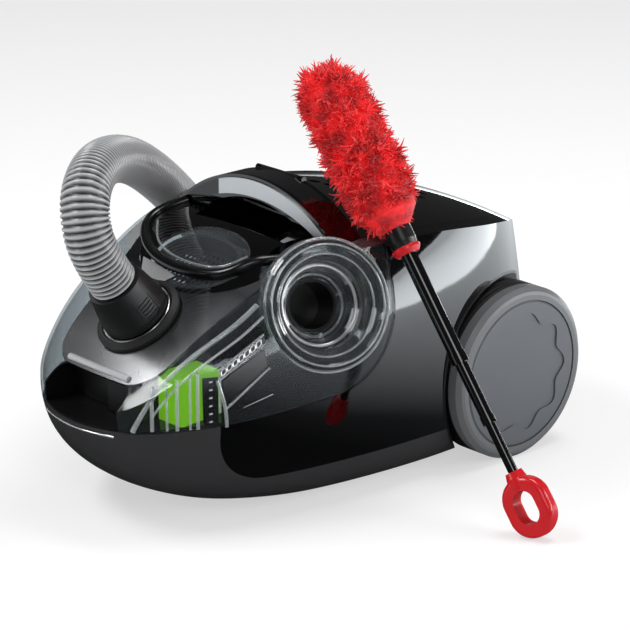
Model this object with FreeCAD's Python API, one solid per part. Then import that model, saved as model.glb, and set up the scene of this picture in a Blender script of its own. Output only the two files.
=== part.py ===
"""Canister vacuum cleaner with a see-through cyclone bin, a corrugated hose and a telescopic duster.

The frame: X runs across the cleaner (+X is its left side), -Y is the nose, +Z is up. The origin lies on
the floor, midway between the two rear wheels and straight below their axle. All sizes are millimetres.

The cleaner is one smooth envelope, cut into casings. A plan outline that changes with height gives its
side walls, and a crowned sheet gives its top. Everything above the parting surface belongs to the bin,
which lifts straight up out of the cradle. Everything below and behind it belongs to the chassis.
"""
import FreeCAD, Part

import math
import os

from FreeCAD import Placement, Rotation
from FreeCAD import Vector as V

os.makedirs("parts", exist_ok=True)

# ---------------------------------------------------------------- driving dimensions
NOSE_Y = -396.0             # front of the nose, at its fullest height
TAIL_Y = 103.0              # back of the body
BODY_HALF_WIDTH = 137.0     # widest half width of the lower body
SHOULDER_HALF_WIDTH = 120.0  # widest half width along the top edge
BODY_BOTTOM = 12.0          # ground clearance
TOP_LEVEL = 240.0           # height at which the top outline is given

SHELL = 2.5                 # wall of the opaque covers
TUB_WALL = 3.0              # wall of the chassis tub
CLEAR_WALL = 2.4            # wall of the see-through bin
GAP = 0.4                   # seam between neighbouring covers
RUN = 0.05                  # radial clearance of a shaft in its hole
SLIDE_GAP = 0.3             # clearance round a button or a sliding piece

WHEEL_R = 80.0
WHEEL_FACE_X = 150.0        # outer face of the wheel
WHEEL_WIDTH = 38.0
AXLE_R = 5.0
ARCH_GAP = 5.0              # air between wheel and arch

PART_Z = 94.0               # height of the parting surface at the nose
PART_SLOPE = 0.065          # its rise towards the back
PART_TURN_Y = -212.0        # where it starts to curve up
PART_R = 72.0               # radius of that curve
PANEL_Z = 43.0              # seam between the tub and the side panels
PANEL_Y = -318.0            # front end of the side panels
PANEL_R = 45.0              # curve at their lower front corner

CYCLONE = V(115, -209, 184)             # centre of the cyclone's mouth
CYCLONE_AXIS = V(0.905, -0.302, 0.302)  # the way that the mouth faces
CYCLONE_R = 58.0            # outside of the cyclone's rim
CYCLONE_DEPTH = 76.0

INLET_Y = -318.0            # where the hose enters the fascia
INLET_LEAN = 35.8           # degrees that its axis leans forwards
INLET_R = 20.0              # bore of the inlet pipe
HOSE_R = 21.0               # outside of the corrugated hose

HANDLE_Y = -170.0           # the carry handle runs across the body here
HANDLE_RISE = 25.0          # how far its middle is above its ends
HANDLE_END_Z = 236.0        # underside of its ends
HANDLE_DEPTH = 32.0
HANDLE_THICK = 20.0

CASTER = V(0, -268, 0)      # swivel axis of the front caster
CASTER_R = 16.0

DUSTER_FOOT = V(299.6, -124, -0.5)  # where the axis of the duster meets the floor
DUSTER_NECK = V(137.1, -135.5, 224.2)  # where its collar leans on the body's edge
TUBE_RADII = (7.0, 5.6, 4.4)    # outer, middle and inner tube of the telescope
TUBE_WALL = 0.7
COLLAR_R = 13.0

X, Y, Z = V(1, 0, 0), V(0, 1, 0), V(0, 0, 1)


# ---------------------------------------------------------------- helpers
def save(shape, name):
    """Writes one node; a compound of several solids stays several solids."""
    solids = [s for s in shape.Solids if s.Volume > 0.5]
    out = solids[0] if len(solids) == 1 else Part.makeCompound(solids)
    out.exportStep(f"parts/{name}.step")


def frame_at(origin, normal, across=X):
    """A placement whose local Z is normal and whose local X is as near to across as it can be."""
    z = V(normal).normalize()
    x = V(across) - z * V(across).dot(z)
    x.normalize()
    return Placement(origin, Rotation(x, z.cross(x), z, "ZXY"))


def placed(shape, placement):
    """A copy of shape moved from the local frame into the row frame."""
    moved = shape.copy()
    moved.Placement = placement.multiply(moved.Placement)
    return moved


def at(shape, x=0.0, y=0.0, z=0.0):
    moved = shape.copy()
    moved.translate(V(x, y, z))
    return moved


def box(x0, x1, y0, y1, z0, z1):
    return Part.makeBox(x1 - x0, y1 - y0, z1 - z0, V(x0, y0, z0))


def rod(radius, z0, z1):
    return Part.makeCylinder(radius, z1 - z0, V(0, 0, z0))


def ring(outer, inner, z0, z1):
    return rod(outer, z0, z1).cut(rod(inner, z0 - 1, z1 + 1))


def rod_x(radius, x0, x1, y, z):
    return Part.makeCylinder(radius, x1 - x0, V(x0, y, z), X)


def ring_x(outer, inner, x0, x1, y, z):
    return rod_x(outer, x0, x1, y, z).cut(rod_x(inner, x0 - 1, x1 + 1, y, z))


def turned(points):
    """A solid of revolution about local Z from (radius, z) points in order."""
    loop = [V(r, 0, z) for r, z in points]
    return Part.Face(Part.makePolygon(loop + loop[:1])).revolve(V(), Z, 360)


def slot(length, width, z0, z1):
    """A stadium prism along local X."""
    half = (length - width) / 2
    mid = box(-half, half, -width / 2, width / 2, z0, z1)
    ends = [at(rod(width / 2, z0, z1), side * half) for side in (-1, 1)]
    return mid.fuse(ends).removeSplitter()


def oval(half_x, half_y, z0, z1):
    """An elliptical prism along local Z."""
    long, short = max(half_x, half_y), min(half_x, half_y)
    wire = Part.Wire([Part.Ellipse(V(0, 0, z0), long, short).toShape()])
    solid = Part.Face(wire).extrude(V(0, 0, z1 - z0))
    if half_y > half_x:
        solid.rotate(V(), Z, 90)
    return solid


def prism_x(edges, x0, x1):
    """A closed outline in the YZ plane, given as edges at x = 0, pulled along X."""
    face = Part.Face(Part.Wire(edges))
    solid = face.extrude(V(x1 - x0, 0, 0))
    solid.translate(V(x0, 0, 0))
    return solid


def line(a, b):
    return Part.LineSegment(V(0, *a), V(0, *b)).toShape()


def arc(a, mid, b):
    return Part.Arc(V(0, *a), V(0, *mid), V(0, *b)).toShape()


# ---------------------------------------------------------------- the envelope
# Half outlines from the nose to the tail: (share of the length, share of the half width).
LOW_PLAN = [(0.0, 0.0), (0.012, 0.27), (0.045, 0.49), (0.10, 0.655), (0.19, 0.815), (0.30, 0.91),
            (0.43, 0.97), (0.59, 1.0), (0.71, 0.98), (0.81, 0.905), (0.89, 0.75), (0.955, 0.50),
            (0.99, 0.24), (1.0, 0.0)]
TOP_PLAN = [(0.0, 0.0), (0.012, 0.30), (0.045, 0.56), (0.12, 0.67), (0.22, 0.74), (0.31, 0.83),
            (0.44, 0.91), (0.55, 0.975), (0.69, 1.0), (0.80, 0.955), (0.88, 0.82), (0.945, 0.58),
            (0.987, 0.30), (1.0, 0.0)]

# Each level of the side walls: height, how far the nose and the tail draw in, half width, outline.
LEVELS = [(BODY_BOTTOM - 2, 96.0, 12.0, BODY_HALF_WIDTH - 24, LOW_PLAN),
          (PANEL_Z, 32.0, 4.0, BODY_HALF_WIDTH - 3, LOW_PLAN),
          (96.0, 0.0, 0.0, BODY_HALF_WIDTH, LOW_PLAN),
          (160.0, 6.0, 6.0, 0.5 * (BODY_HALF_WIDTH + SHOULDER_HALF_WIDTH) + 4, LOW_PLAN),
          (TOP_LEVEL, 12.0, 20.0, SHOULDER_HALF_WIDTH, TOP_PLAN)]

# The top's centre line, from the nose to the tail: (y, z).
TOP_LINE = [(-440, 72), (-367, 132), (-318, 169), (-274, 196), (-235, 219), (-195, 232), (-140, 237),
            (-80, 236), (-25, 229), (25, 217), (60, 200), (88, 174), (125, 120)]
CROWN = 10.0                # how far the top falls from the middle to the shoulder
CROWN_X = 115.0


def outline(level, inset):
    """The closed plan outline of one level as a wire, drawn in by inset."""
    z, nose_in, tail_in, half_width, shape = level
    y0, y1 = NOSE_Y + nose_in, TAIL_Y - tail_in
    side = [V(share * half_width, y0 + along * (y1 - y0), z) for along, share in shape]
    points = side + [V(-p.x, p.y, z) for p in reversed(side[1:-1])]
    count = len(points)
    moved = []
    for i, p in enumerate(points):
        tangent = points[(i + 1) % count] - points[i - 1]
        inward = V(-tangent.y, tangent.x, 0).normalize()
        moved.append(p + inward * inset)
    curve = Part.BSplineCurve()
    curve.interpolate(Points=moved, PeriodicFlag=True)
    return Part.Wire([curve.toShape()])


def column(inset):
    """The side walls as a solid that runs up past the top."""
    wires = [outline(level, inset) for level in LEVELS]
    solid = Part.makeLoft(wires, True, False)
    floor = BODY_BOTTOM + inset
    return solid.common(box(-300, 300, -600, 300, floor, TOP_LEVEL))


def top_height(y, x=0.0, inset=0.0):
    """Height of the top surface above a point, read from the same curve that shapes it."""
    curve = Part.BSplineCurve()
    curve.interpolate([V(0, *p) for p in TOP_LINE])
    hits = curve.intersectCC(Part.LineSegment(V(0, y, -500), V(0, y, 500)))
    return hits[0].Z - CROWN * (x / CROWN_X) ** 2 - inset if hits else None


def crown_block(inset):
    """Everything under the top surface, which falls off to both sides as a parabola."""
    sections = []
    for x in (-180.0, -90.0, 0.0, 90.0, 180.0):
        drop = CROWN * (x / CROWN_X) ** 2 + inset
        curve = Part.BSplineCurve()
        curve.interpolate([V(x, y, z - drop) for y, z in TOP_LINE])
        first, last = curve.StartPoint, curve.EndPoint
        low_a, low_b = V(x, last.y, -60), V(x, first.y, -60)
        edges = [curve.toShape(), Part.LineSegment(last, low_a).toShape(),
                 Part.LineSegment(low_a, low_b).toShape(), Part.LineSegment(low_b, first).toShape()]
        sections.append(Part.Wire(edges))
    return Part.makeLoft(sections, True, False)


ENVELOPES = {}


def envelope(inset):
    """The whole body drawn in by inset on every side."""
    if inset not in ENVELOPES:
        ENVELOPES[inset] = column(inset).common(crown_block(inset))
    return ENVELOPES[inset].copy()


def skin(wall):
    return envelope(0.0).cut(envelope(wall))


def bin_space(shift):
    """All space above the parting surface, which is shifted up and forwards by shift."""
    z_turn = PART_Z + (PART_TURN_Y - NOSE_Y) * PART_SLOPE + shift
    z_front = z_turn - (PART_TURN_Y + 460) * PART_SLOPE
    radius = PART_R - shift
    wall_y = PART_TURN_Y + radius
    eighth = math.radians(45)
    mid = (PART_TURN_Y + radius * math.sin(eighth), z_turn + radius * (1 - math.cos(eighth)))
    edges = [line((-460, z_front), (PART_TURN_Y, z_turn)),
             arc((PART_TURN_Y, z_turn), mid, (wall_y, z_turn + radius)),
             line((wall_y, z_turn + radius), (wall_y, 460)), line((wall_y, 460), (-460, 460)),
             line((-460, 460), (-460, z_front))]
    return prism_x(edges, -200, 200)


def panel_space(shift):
    """All space behind and above the seam between the tub and the side panels."""
    y0, z0 = PANEL_Y + shift, PANEL_Z + shift
    radius = PANEL_R - shift
    k = 1 - math.cos(math.radians(45))
    edges = [line((y0, 460), (y0, z0 + radius)),
             arc((y0, z0 + radius), (y0 + radius * k, z0 + radius * k), (y0 + radius, z0)),
             line((y0 + radius, z0), (260, z0)), line((260, z0), (260, 460)), line((260, 460), (y0, 460))]
    return prism_x(edges, -200, 200)


def wheel_wells(radius, inner_x):
    """The two cylinders that the wheels turn in."""
    return [rod_x(radius, inner_x, 200, 0, WHEEL_R), rod_x(radius, -200, -inner_x, 0, WHEEL_R)]


WELL_R = WHEEL_R + ARCH_GAP + 2.0
WELL_X = WHEEL_FACE_X - WHEEL_WIDTH - 8.0
BULKHEAD_Y = PART_TURN_Y + PART_R      # the upright end of the parting surface
COVER_INSET = 10.0                     # how far inside the top outline the top covers end
FLOOR_IN = BODY_BOTTOM + TUB_WALL      # inside of the tub's floor


def prism_z(wire, z0, z1):
    """A plan outline pulled straight up."""
    flat = wire.copy()
    flat.translate(V(0, 0, z0 - wire.BoundBox.ZMin))
    return Part.Face(flat).extrude(V(0, 0, z1 - z0))


def cover_space(inset):
    """The column of space above the top covers."""
    return prism_z(outline(LEVELS[-1], inset), 60, 320)


def behind(y):
    return box(-250, 250, y, 300, -50, 400)


def in_front(y):
    return box(-250, 250, -600, y, -50, 400)


def cut_all(shape, tools):
    for tool in tools:
        shape = shape.cut(tool)
    return shape


def fuse_all(shapes):
    return shapes[0].fuse(shapes[1:]) if len(shapes) > 1 else shapes[0]


# ---------------------------------------------------------------- chassis: tub, deck, panels, covers
WELLS = wheel_wells(WELL_R, WELL_X - SHELL)
CASTER_CUP_R = 34.0
CASTER_CUP_TOP = 46.0
SCREW_SPOTS = [(sx * x, y) for x, y in ((56, -236), (74, -120), (52, 40)) for sx in (-1, 1)]
SCREW_R = 1.8
SCREW_HEAD_R = 3.8
SCREW_HEAD = 2.0
SCREW_LENGTH = 14.0
CORD_OUTLET_Z = 30.0
CORD_BORE_R = 4.0


def make_tub():
    """The lower half: a tub with screw bosses, a hole for the caster's cup and the cord's outlet."""
    tub = cut_all(skin(TUB_WALL), [panel_space(0), bin_space(0), *WELLS])
    tub = tub.cut(at(rod(CASTER_CUP_R, 0, CASTER_CUP_TOP), CASTER.x, CASTER.y))
    bosses = [at(rod(5.0, FLOOR_IN - 0.5, FLOOR_IN + SCREW_LENGTH), x, y) for x, y in SCREW_SPOTS]
    tub = fuse_all([tub, *bosses])
    holes = [at(rod(SCREW_R, 0, 60), x, y) for x, y in SCREW_SPOTS]
    heads = [at(rod(SCREW_HEAD_R + 0.3, 0, BODY_BOTTOM + SCREW_HEAD), x, y) for x, y in SCREW_SPOTS]
    outlet = Part.makeCylinder(CORD_BORE_R + 3.0, 40, V(0, TAIL_Y - 30, CORD_OUTLET_Z), Y)
    save(cut_all(tub, holes + heads + [outlet]), "chassis_tub")


def make_screws():
    screw = fuse_all([rod(SCREW_HEAD_R, BODY_BOTTOM, BODY_BOTTOM + SCREW_HEAD),
                      rod(SCREW_R, BODY_BOTTOM + SCREW_HEAD, BODY_BOTTOM + SCREW_LENGTH)])
    cross = fuse_all([box(-2.2, 2.2, -0.5, 0.5, 0, BODY_BOTTOM + 1.0),
                      box(-0.5, 0.5, -2.2, 2.2, 0, BODY_BOTTOM + 1.0)])
    save(Part.makeCompound([at(screw.cut(cross), x, y) for x, y in SCREW_SPOTS]), "base_screws")


def make_cord_outlet():
    grommet = ring(CORD_BORE_R + 3.0, CORD_BORE_R, 0, 8).fuse(ring(CORD_BORE_R + 5.0, CORD_BORE_R, 8, 11))
    slice_ = envelope(0.0).common(box(-8, 8, 0, 200, CORD_OUTLET_Z - 8, CORD_OUTLET_Z + 8))
    back = max(p.y for p in slice_.tessellate(0.1)[0])
    place = frame_at(V(0, back - 8.0, CORD_OUTLET_Z), Y)
    save(placed(grommet, place), "cord_outlet")


def make_deck():
    """The cradle that the bin stands in: a floor that turns up into the bulkhead behind it."""
    deck = envelope(TUB_WALL).common(bin_space(-TUB_WALL)).cut(bin_space(0))
    deck = deck.cut(skin(TUB_WALL))
    outlet = box(8, 72, BULKHEAD_Y - 5, BULKHEAD_Y + 10, 188, 218)
    deck = cut_all(deck, [outlet, *WELLS])
    save(deck, "cradle_deck")


def make_panels():
    """The two side covers meet at the tail and leave the top to the rear cover."""
    shell = skin(SHELL).common(panel_space(GAP))
    shell = cut_all(shell, [bin_space(0), cover_space(COVER_INSET).common(behind(BULKHEAD_Y)), *WELLS])
    for name, side in (("side_panel_left", 1), ("side_panel_right", -1)):
        half = box(GAP / 2, 300, -600, 300, -50, 400)
        if side < 0:
            half = box(-300, -GAP / 2, -600, 300, -50, 400)
        save(shell.common(half), name)


PEDAL = (30.0, 19.0)         # full length and width
PEDAL_SPOTS = {"power_pedal": (36.0, 38.0), "cord_rewind_pedal": (-36.0, 38.0)}
GRILLE_Y = (-84.0, -6.0)
GRILLE_HALF = 52.0
DUCT_WALL = 2.5
FILTER_THICK = 14.0
FILTER_TOP = 206.0


def make_rear_cover():
    """The rear top cover: an air grille of oval holes over the filter's duct, and two pedal holes."""
    cover = skin(SHELL).common(cover_space(COVER_INSET + GAP))
    cover = cover.common(behind(BULKHEAD_Y + GAP)).cut(bin_space(0))
    half, (y0, y1) = GRILLE_HALF + 6, (GRILLE_Y[0] - 8, GRILLE_Y[1] + 8)
    low = FILTER_TOP - FILTER_THICK
    duct = box(-half - DUCT_WALL, half + DUCT_WALL, y0 - DUCT_WALL, y1 + DUCT_WALL, low - DUCT_WALL, 300)
    duct = duct.cut(box(-half, half, y0, y1, low, 300)).cut(box(-half + 5, half - 5, y0 + 5, y1 - 5, 0, 300))
    cover = cover.fuse(duct.common(envelope(SHELL - 0.2)))
    holes = []
    rows = 6
    for row in range(rows):
        y = GRILLE_Y[0] + (row + 0.5) * (GRILLE_Y[1] - GRILLE_Y[0]) / rows
        count = 5 if row % 2 == 0 else 4
        for i in range(count):
            x = (i - (count - 1) / 2) * 21.0
            holes.append(at(oval(7.5, 3.6, 150, 300), x, y))
    holes += [at(oval(PEDAL[0] / 2 + SLIDE_GAP, PEDAL[1] / 2 + SLIDE_GAP, 100, 300), x, y)
              for x, y in PEDAL_SPOTS.values()]
    save(cut_all(cover, holes), "rear_top_cover")


def make_pedals():
    for name, (x, y) in PEDAL_SPOTS.items():
        cap = skin(5.0).common(at(oval(PEDAL[0] / 2, PEDAL[1] / 2, 150, 300), x, y))
        stem = at(rod(4.0, top_height(y) - 17, 300), x, y).common(envelope(4.0))
        save(cap.fuse(stem), name)


def make_exhaust_filter():
    y0, y1 = GRILLE_Y[0] - 8, GRILLE_Y[1] + 8
    low = FILTER_TOP - FILTER_THICK
    block = box(-GRILLE_HALF - 5.5, GRILLE_HALF + 5.5, y0 + 0.5, y1 - 0.5, low, FILTER_TOP)
    pleats = [box(x - 1.5, x + 1.5, y0 + 6, y1 - 6, low + 4, FILTER_TOP + 1) for x in range(-48, 49, 6)]
    save(cut_all(block, pleats), "exhaust_filter")


def make_arches():
    """Black liners that the wheels turn in, each with a boss for its axle."""
    inner = WELL_X - SHELL
    liner = rod_x(WELL_R, inner, 200, 0, WHEEL_R).cut(rod_x(WELL_R - SHELL, WELL_X, 201, 0, WHEEL_R))
    liner = liner.common(envelope(0.0))
    boss = rod_x(AXLE_R + 6, inner - 12, WELL_X + 4, 0, WHEEL_R)
    liner = liner.fuse(boss).cut(rod_x(AXLE_R, 0, 200, 0, WHEEL_R))
    save(Part.makeCompound([liner, liner.mirror(V(), X)]), "wheel_arches")


# ---------------------------------------------------------------- wheels and caster
TYRE = 4.0
HUB_R = 68.0                 # the seam between the rim and the hub cap
WAVE_R = 52.0                # mean radius of the wavy recess in the cap
WAVE_DEPTH = 1.6


def wavy_outline(radius, swing, waves, z):
    count = waves * 4
    points = []
    for i in range(count):
        angle = 2 * math.pi * i / count
        r = radius + swing * math.cos(waves * angle)
        points.append(V(r * math.cos(angle), r * math.sin(angle), z))
    curve = Part.BSplineCurve()
    curve.interpolate(Points=points, PeriodicFlag=True)
    return Part.Wire([curve.toShape()])


def make_wheels():
    """Each wheel is a moulded dish with a grip ring, a hub cap and a fixed steel axle."""
    width = WHEEL_WIDTH
    rim = turned([(AXLE_R + RUN, 0), (16, 0), (16, width - 12), (HUB_R - 8, width - 12), (HUB_R - 8, 4),
                  (WHEEL_R - TYRE, 0), (WHEEL_R - TYRE, width - 14), (WHEEL_R, width - 14),
                  (WHEEL_R, width - 5), (WHEEL_R - 4, width - 1), (WHEEL_R - 7, width), (HUB_R + GAP, width),
                  (HUB_R + GAP, width - 4), (HUB_R - 8, width - 7), (AXLE_R + RUN, width - 7)])
    tyre = ring(WHEEL_R, WHEEL_R - TYRE, 3, width - 14)
    grooves = [ring(WHEEL_R + 1, WHEEL_R - 1.2, z, z + 1.6) for z in (8, 13, 18)]
    tyre = cut_all(tyre, grooves)
    cap = turned([(0, width - 4), (HUB_R, width - 4), (HUB_R, width - 1.5), (HUB_R - 2, width), (0, width)])
    recess = Part.Face(wavy_outline(WAVE_R, 4.0, 9, width - WAVE_DEPTH)).extrude(V(0, 0, 5))
    cap = cap.cut(recess).fuse(rod(AXLE_R - 0.5, width - 6.5, width - 4))
    axle = rod(AXLE_R, -WELL_X + WHEEL_FACE_X - width - 8 - 6, width - 7.5)
    pieces = {"wheel": rim, "wheel_tyre": tyre, "hub_cap": cap}
    axles = []
    for side_name, side in (("left", 1), ("right", -1)):
        place = frame_at(V(side * (WHEEL_FACE_X - width), 0, WHEEL_R), V(side, 0, 0), Y)
        for name, shape in pieces.items():
            save(placed(shape, place), f"{name}_{side_name}")
        axles.append(placed(axle, place))
    save(Part.makeCompound(axles), "wheel_axles")


CASTER_TRAIL = 8.0
CASTER_WIDTH = 18.0
CASTER_PIN_R = 2.5
FORK_PLATE_R = 25.0
FORK_STEM_R = 5.0


def make_caster():
    """The nose stands on a caster in a cup: a fork that swivels and a roller on a pin."""
    cup = rod(CASTER_CUP_R, BODY_BOTTOM, CASTER_CUP_TOP).cut(rod(CASTER_CUP_R - 2.5, 0, CASTER_CUP_TOP - 3))
    cup = cup.fuse(rod(FORK_STEM_R + 4, CASTER_CUP_TOP - 3, CASTER_CUP_TOP + 12))
    cup = cup.cut(rod(FORK_STEM_R + RUN, 0, 80))
    plate_top = CASTER_CUP_TOP - 3 - 0.4
    fork = rod(FORK_PLATE_R, plate_top - 4, plate_top).fuse(rod(FORK_STEM_R, plate_top, CASTER_CUP_TOP + 11))
    cheek = box(-2.5, 2.5, CASTER_TRAIL - 8, CASTER_TRAIL + 8, CASTER_R - 4, plate_top - 2)
    offset = CASTER_WIDTH / 2 + 0.5 + 2.5
    fork = fork.fuse([at(cheek, offset), at(cheek, -offset)])
    pin = rod_x(CASTER_PIN_R, -offset - 2.5, offset + 2.5, CASTER_TRAIL, CASTER_R)
    fork = fork.cut(pin)
    half = CASTER_WIDTH / 2
    roller = ring_x(CASTER_R, CASTER_PIN_R + RUN, -half, half, CASTER_TRAIL, CASTER_R)
    pieces = {"caster_cup": cup, "caster_fork": fork, "caster_pin": pin, "caster_roller": roller}
    for name, shape in pieces.items():
        save(at(shape, CASTER.x, CASTER.y), name)


# ---------------------------------------------------------------- motor, fan and cord reel
MOTOR_R = 50.0
MOTOR_Z = 76.0
MOTOR_Y = (-132.0, -14.0)
MOTOR_WALL = 2.0
SHAFT_R = 4.0


def make_motor():
    """The can lies along Y in the inner frame; the fan sits at its front end, on the rotor's shaft."""
    y0, y1 = MOTOR_Y
    length = y1 - y0
    place = frame_at(V(0, y0, MOTOR_Z), Y)
    inner = MOTOR_R - MOTOR_WALL
    can = turned([(SHAFT_R + RUN, length - 5), (SHAFT_R + RUN, length), (MOTOR_R, length), (MOTOR_R, 0),
                  (18, 0), (18, -6), (15, -6), (15, MOTOR_WALL), (inner, MOTOR_WALL), (inner, length - 5)])
    vents = [Placement(V(), Rotation(Z, 30 * k)).multVec(V(30, 0, 0)) for k in range(12)]
    can = cut_all(can, [at(rod(4, length - 9, length + 1), v.x, v.y) for v in vents])
    save(placed(can, place), "motor_can")
    fan = rod(inner - 3, 16, 18).fuse(rod(9, 8, 20))
    blades = []
    for k in range(9):
        blade = box(7, inner - 4, -0.8, 0.8, 9, 17)
        blade.rotate(V(), Z, 40 * k)
        blades.append(blade)
    fan = fuse_all([fan, *blades]).cut(rod(SHAFT_R, 0, 40))
    save(placed(fan, place), "fan_impeller")
    rotor = rod(SHAFT_R, 6, length - 0.5).fuse(rod(26.0, 36, 94)).removeSplitter()
    save(placed(rotor, place), "motor_rotor")


DRUM_R = 44.0
DRUM_Z = 72.0
DRUM_Y = (40.0, 72.0)
DRUM_PIN_R = 6.0
CRADLES = (12.0, 92.0)       # the frame's two cradles, from the front end of the motor


def make_cord_reel():
    """The mains cord winds on a drum behind the motor, which a spring in its hub turns back."""
    y0, y1 = DRUM_Y
    place = frame_at(V(0, y0, DRUM_Z), Y)
    width = y1 - y0
    drum = turned([(DRUM_PIN_R + RUN, 0), (DRUM_R, 0), (DRUM_R, 2), (22, 2), (22, width - 2),
                   (DRUM_R, width - 2), (DRUM_R, width), (DRUM_PIN_R + RUN, width)])
    save(placed(drum, place), "cord_drum")
    bracket = box(-40, 40, y0 - 4, y0 - 0.4, FLOOR_IN, DRUM_Z + 14)
    pin = Part.makeCylinder(DRUM_PIN_R, width + 3, V(0, y0 - 4, DRUM_Z), Y)
    tie = box(-20, 20, MOTOR_Y[0] + CRADLES[0], y0 - 0.4, FLOOR_IN, FLOOR_IN + 5)
    frame = [bracket, pin, tie]
    for start in CRADLES:
        y = MOTOR_Y[0] + start
        cradle = box(-60, 60, y, y + 5, FLOOR_IN, MOTOR_Z)
        frame.append(cradle.cut(Part.makeCylinder(MOTOR_R, 40, V(0, y - 10, MOTOR_Z), Y)))
    save(fuse_all(frame), "inner_frame")


def make_bulkhead_fittings():
    """A foam filter over the bin's outlet and the circuit board sit on the back of the bulkhead."""
    back = BULKHEAD_Y + TUB_WALL
    save(box(4, 76, back, back + 14, 184, 221), "motor_filter")
    board = box(-76, -14, back + 3, back + 4.6, 184, 220)
    posts = [Part.makeCylinder(2, 3, V(x, back, z), Y) for x in (-72, -18) for z in (188, 216)]
    chips = [box(x, x + 12, back + 4.6, back + 8.6, 194, 206) for x in (-66, -46, -28)]
    save(fuse_all([board, *posts, *chips]), "circuit_board")


# ---------------------------------------------------------------- the bin
BIN_BACK = BULKHEAD_Y - 2 * GAP
INLET = V(0, INLET_Y, top_height(INLET_Y))
INLET_AXIS = V(0, -math.sin(math.radians(INLET_LEAN)), math.cos(math.radians(INLET_LEAN)))
INLET_PLACE = frame_at(INLET, INLET_AXIS)
CUFF_PLACE = frame_at(INLET, INLET_AXIS, V(0, -1, 0))
INLET_HOLE_R = 36.0
CYCLONE_PLACE = frame_at(CYCLONE, CYCLONE_AXIS, Z)
PAN_WALL = 3.0
PAN_OVAL = (86.0, 64.0, -222.0)          # half width, half length and middle of the handle's surround
WINDOW = (54.0, 33.0, -250.0)            # the same for the window in it
WELL = (56.0, -208.0, -149.0, 208.0)     # finger well: half width, front, back, floor
POCKET = (51.0, -350.0, 131.0)           # nose pocket: half width, back, top
NOSE_POCKET_FLOOR = PART_Z + GAP


def bin_skin(wall):
    return skin(wall).common(bin_space(GAP)).common(in_front(BIN_BACK))


def pan_space(grow):
    half_x, half_y, y = PAN_OVAL
    mouth = at(oval(half_x + grow, half_y + grow, 100, 320), 0, y)
    return mouth.fuse(box(-100 - grow, 100 + grow, -194 - grow, 0, 100, 320))


def window_space(grow):
    half_x, half_y, y = WINDOW
    return at(oval(half_x + grow, half_y + grow, 60, 320), 0, y)


def pocket_space(grow):
    half, back, top = POCKET
    return rounded_prism_y(half + grow, NOSE_POCKET_FLOOR - grow, top + grow, 12 + grow, -450, back + grow)


def rounded_prism_y(half, z0, z1, radius, y0, y1):
    """A block along Y whose two upper edges are rounded."""
    block = box(-half, half, y0, y1, z0, z1 - radius)
    block = block.fuse(box(-half + radius, half - radius, y0, y1, z0, z1))
    corners = [Part.makeCylinder(radius, y1 - y0, V(side * (half - radius), y0, z1 - radius), Y)
               for side in (-1, 1)]
    return fuse_all([block, *corners])


MOUTH_CUT = placed(rod(CYCLONE_R, -40, 60), CYCLONE_PLACE)
INLET_CUT = placed(rod(INLET_HOLE_R, -30, 60), INLET_PLACE)


def make_bin_shells():
    """Clear side walls of the bin, and the dark tray that closes it below and behind."""
    shell = bin_skin(CLEAR_WALL)
    shell = cut_all(shell, [cover_space(COVER_INSET), pan_space(GAP), MOUTH_CUT, pocket_space(0)])
    shell = shell.cut(placed(rod(INLET_HOLE_R + GAP, -30, 60), INLET_PLACE))
    save(shell, "bin_shell")
    tray = envelope(CLEAR_WALL).common(bin_space(GAP)).cut(bin_space(GAP + CLEAR_WALL))
    tray = tray.common(in_front(BIN_BACK)).cut(pocket_space(0))
    back = envelope(CLEAR_WALL).common(box(-200, 200, BIN_BACK - CLEAR_WALL, BIN_BACK, 150, 300))
    back = back.common(bin_space(GAP))
    tray = tray.fuse(back).cut(box(8, 72, -160, -130, 188, 206))
    tray = tray.cut(pan_space(0).common(box(-200, 200, -200, 0, 221, 400)))
    side, base = WELL[0] + PAN_WALL, WELL[3] - PAN_WALL
    tray = tray.cut(box(-side, side, WELL[1] - 5, -140.0, base, 400))
    save(tray, "bin_tray")
    return tray


def make_fascia(tray):
    """The dark cover of the nose, with the hose inlet's hole and a pocket under its lip."""
    fascia = bin_skin(PAN_WALL).common(cover_space(COVER_INSET + GAP))
    fascia = cut_all(fascia, [pan_space(GAP), INLET_CUT, MOUTH_CUT, pocket_space(0), tray])
    save(Part.makeCompound([s for s in fascia.Solids if s.Volume > 20]), "front_fascia")
    liner = pocket_space(0).cut(rounded_prism_y(POCKET[0] - 2, NOSE_POCKET_FLOOR + 2, POCKET[2] - 2, 10,
                                                -451, POCKET[1] - 2))
    liner = liner.common(envelope(PAN_WALL)).common(bin_space(GAP))
    save(liner.cut(box(5.8, 43.2, -500, -300, NOSE_POCKET_FLOOR + 3, POCKET[2] - 5)), "nose_pocket")


RELEASE = (6.0, 43.0)         # the release plate spans these widths in the pocket


def make_release_plate():
    """A sprung plate at the back of the nose pocket frees the bin when it is pressed."""
    back = POCKET[1] - 2
    plate = box(RELEASE[0], RELEASE[1], back - 7, back - 1, NOSE_POCKET_FLOOR + 3.3, POCKET[2] - 5.3)
    stem = box(20, 29, back - 2, back + 7, 104, 112)
    save(plate.fuse(stem), "bin_release_plate")


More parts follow.
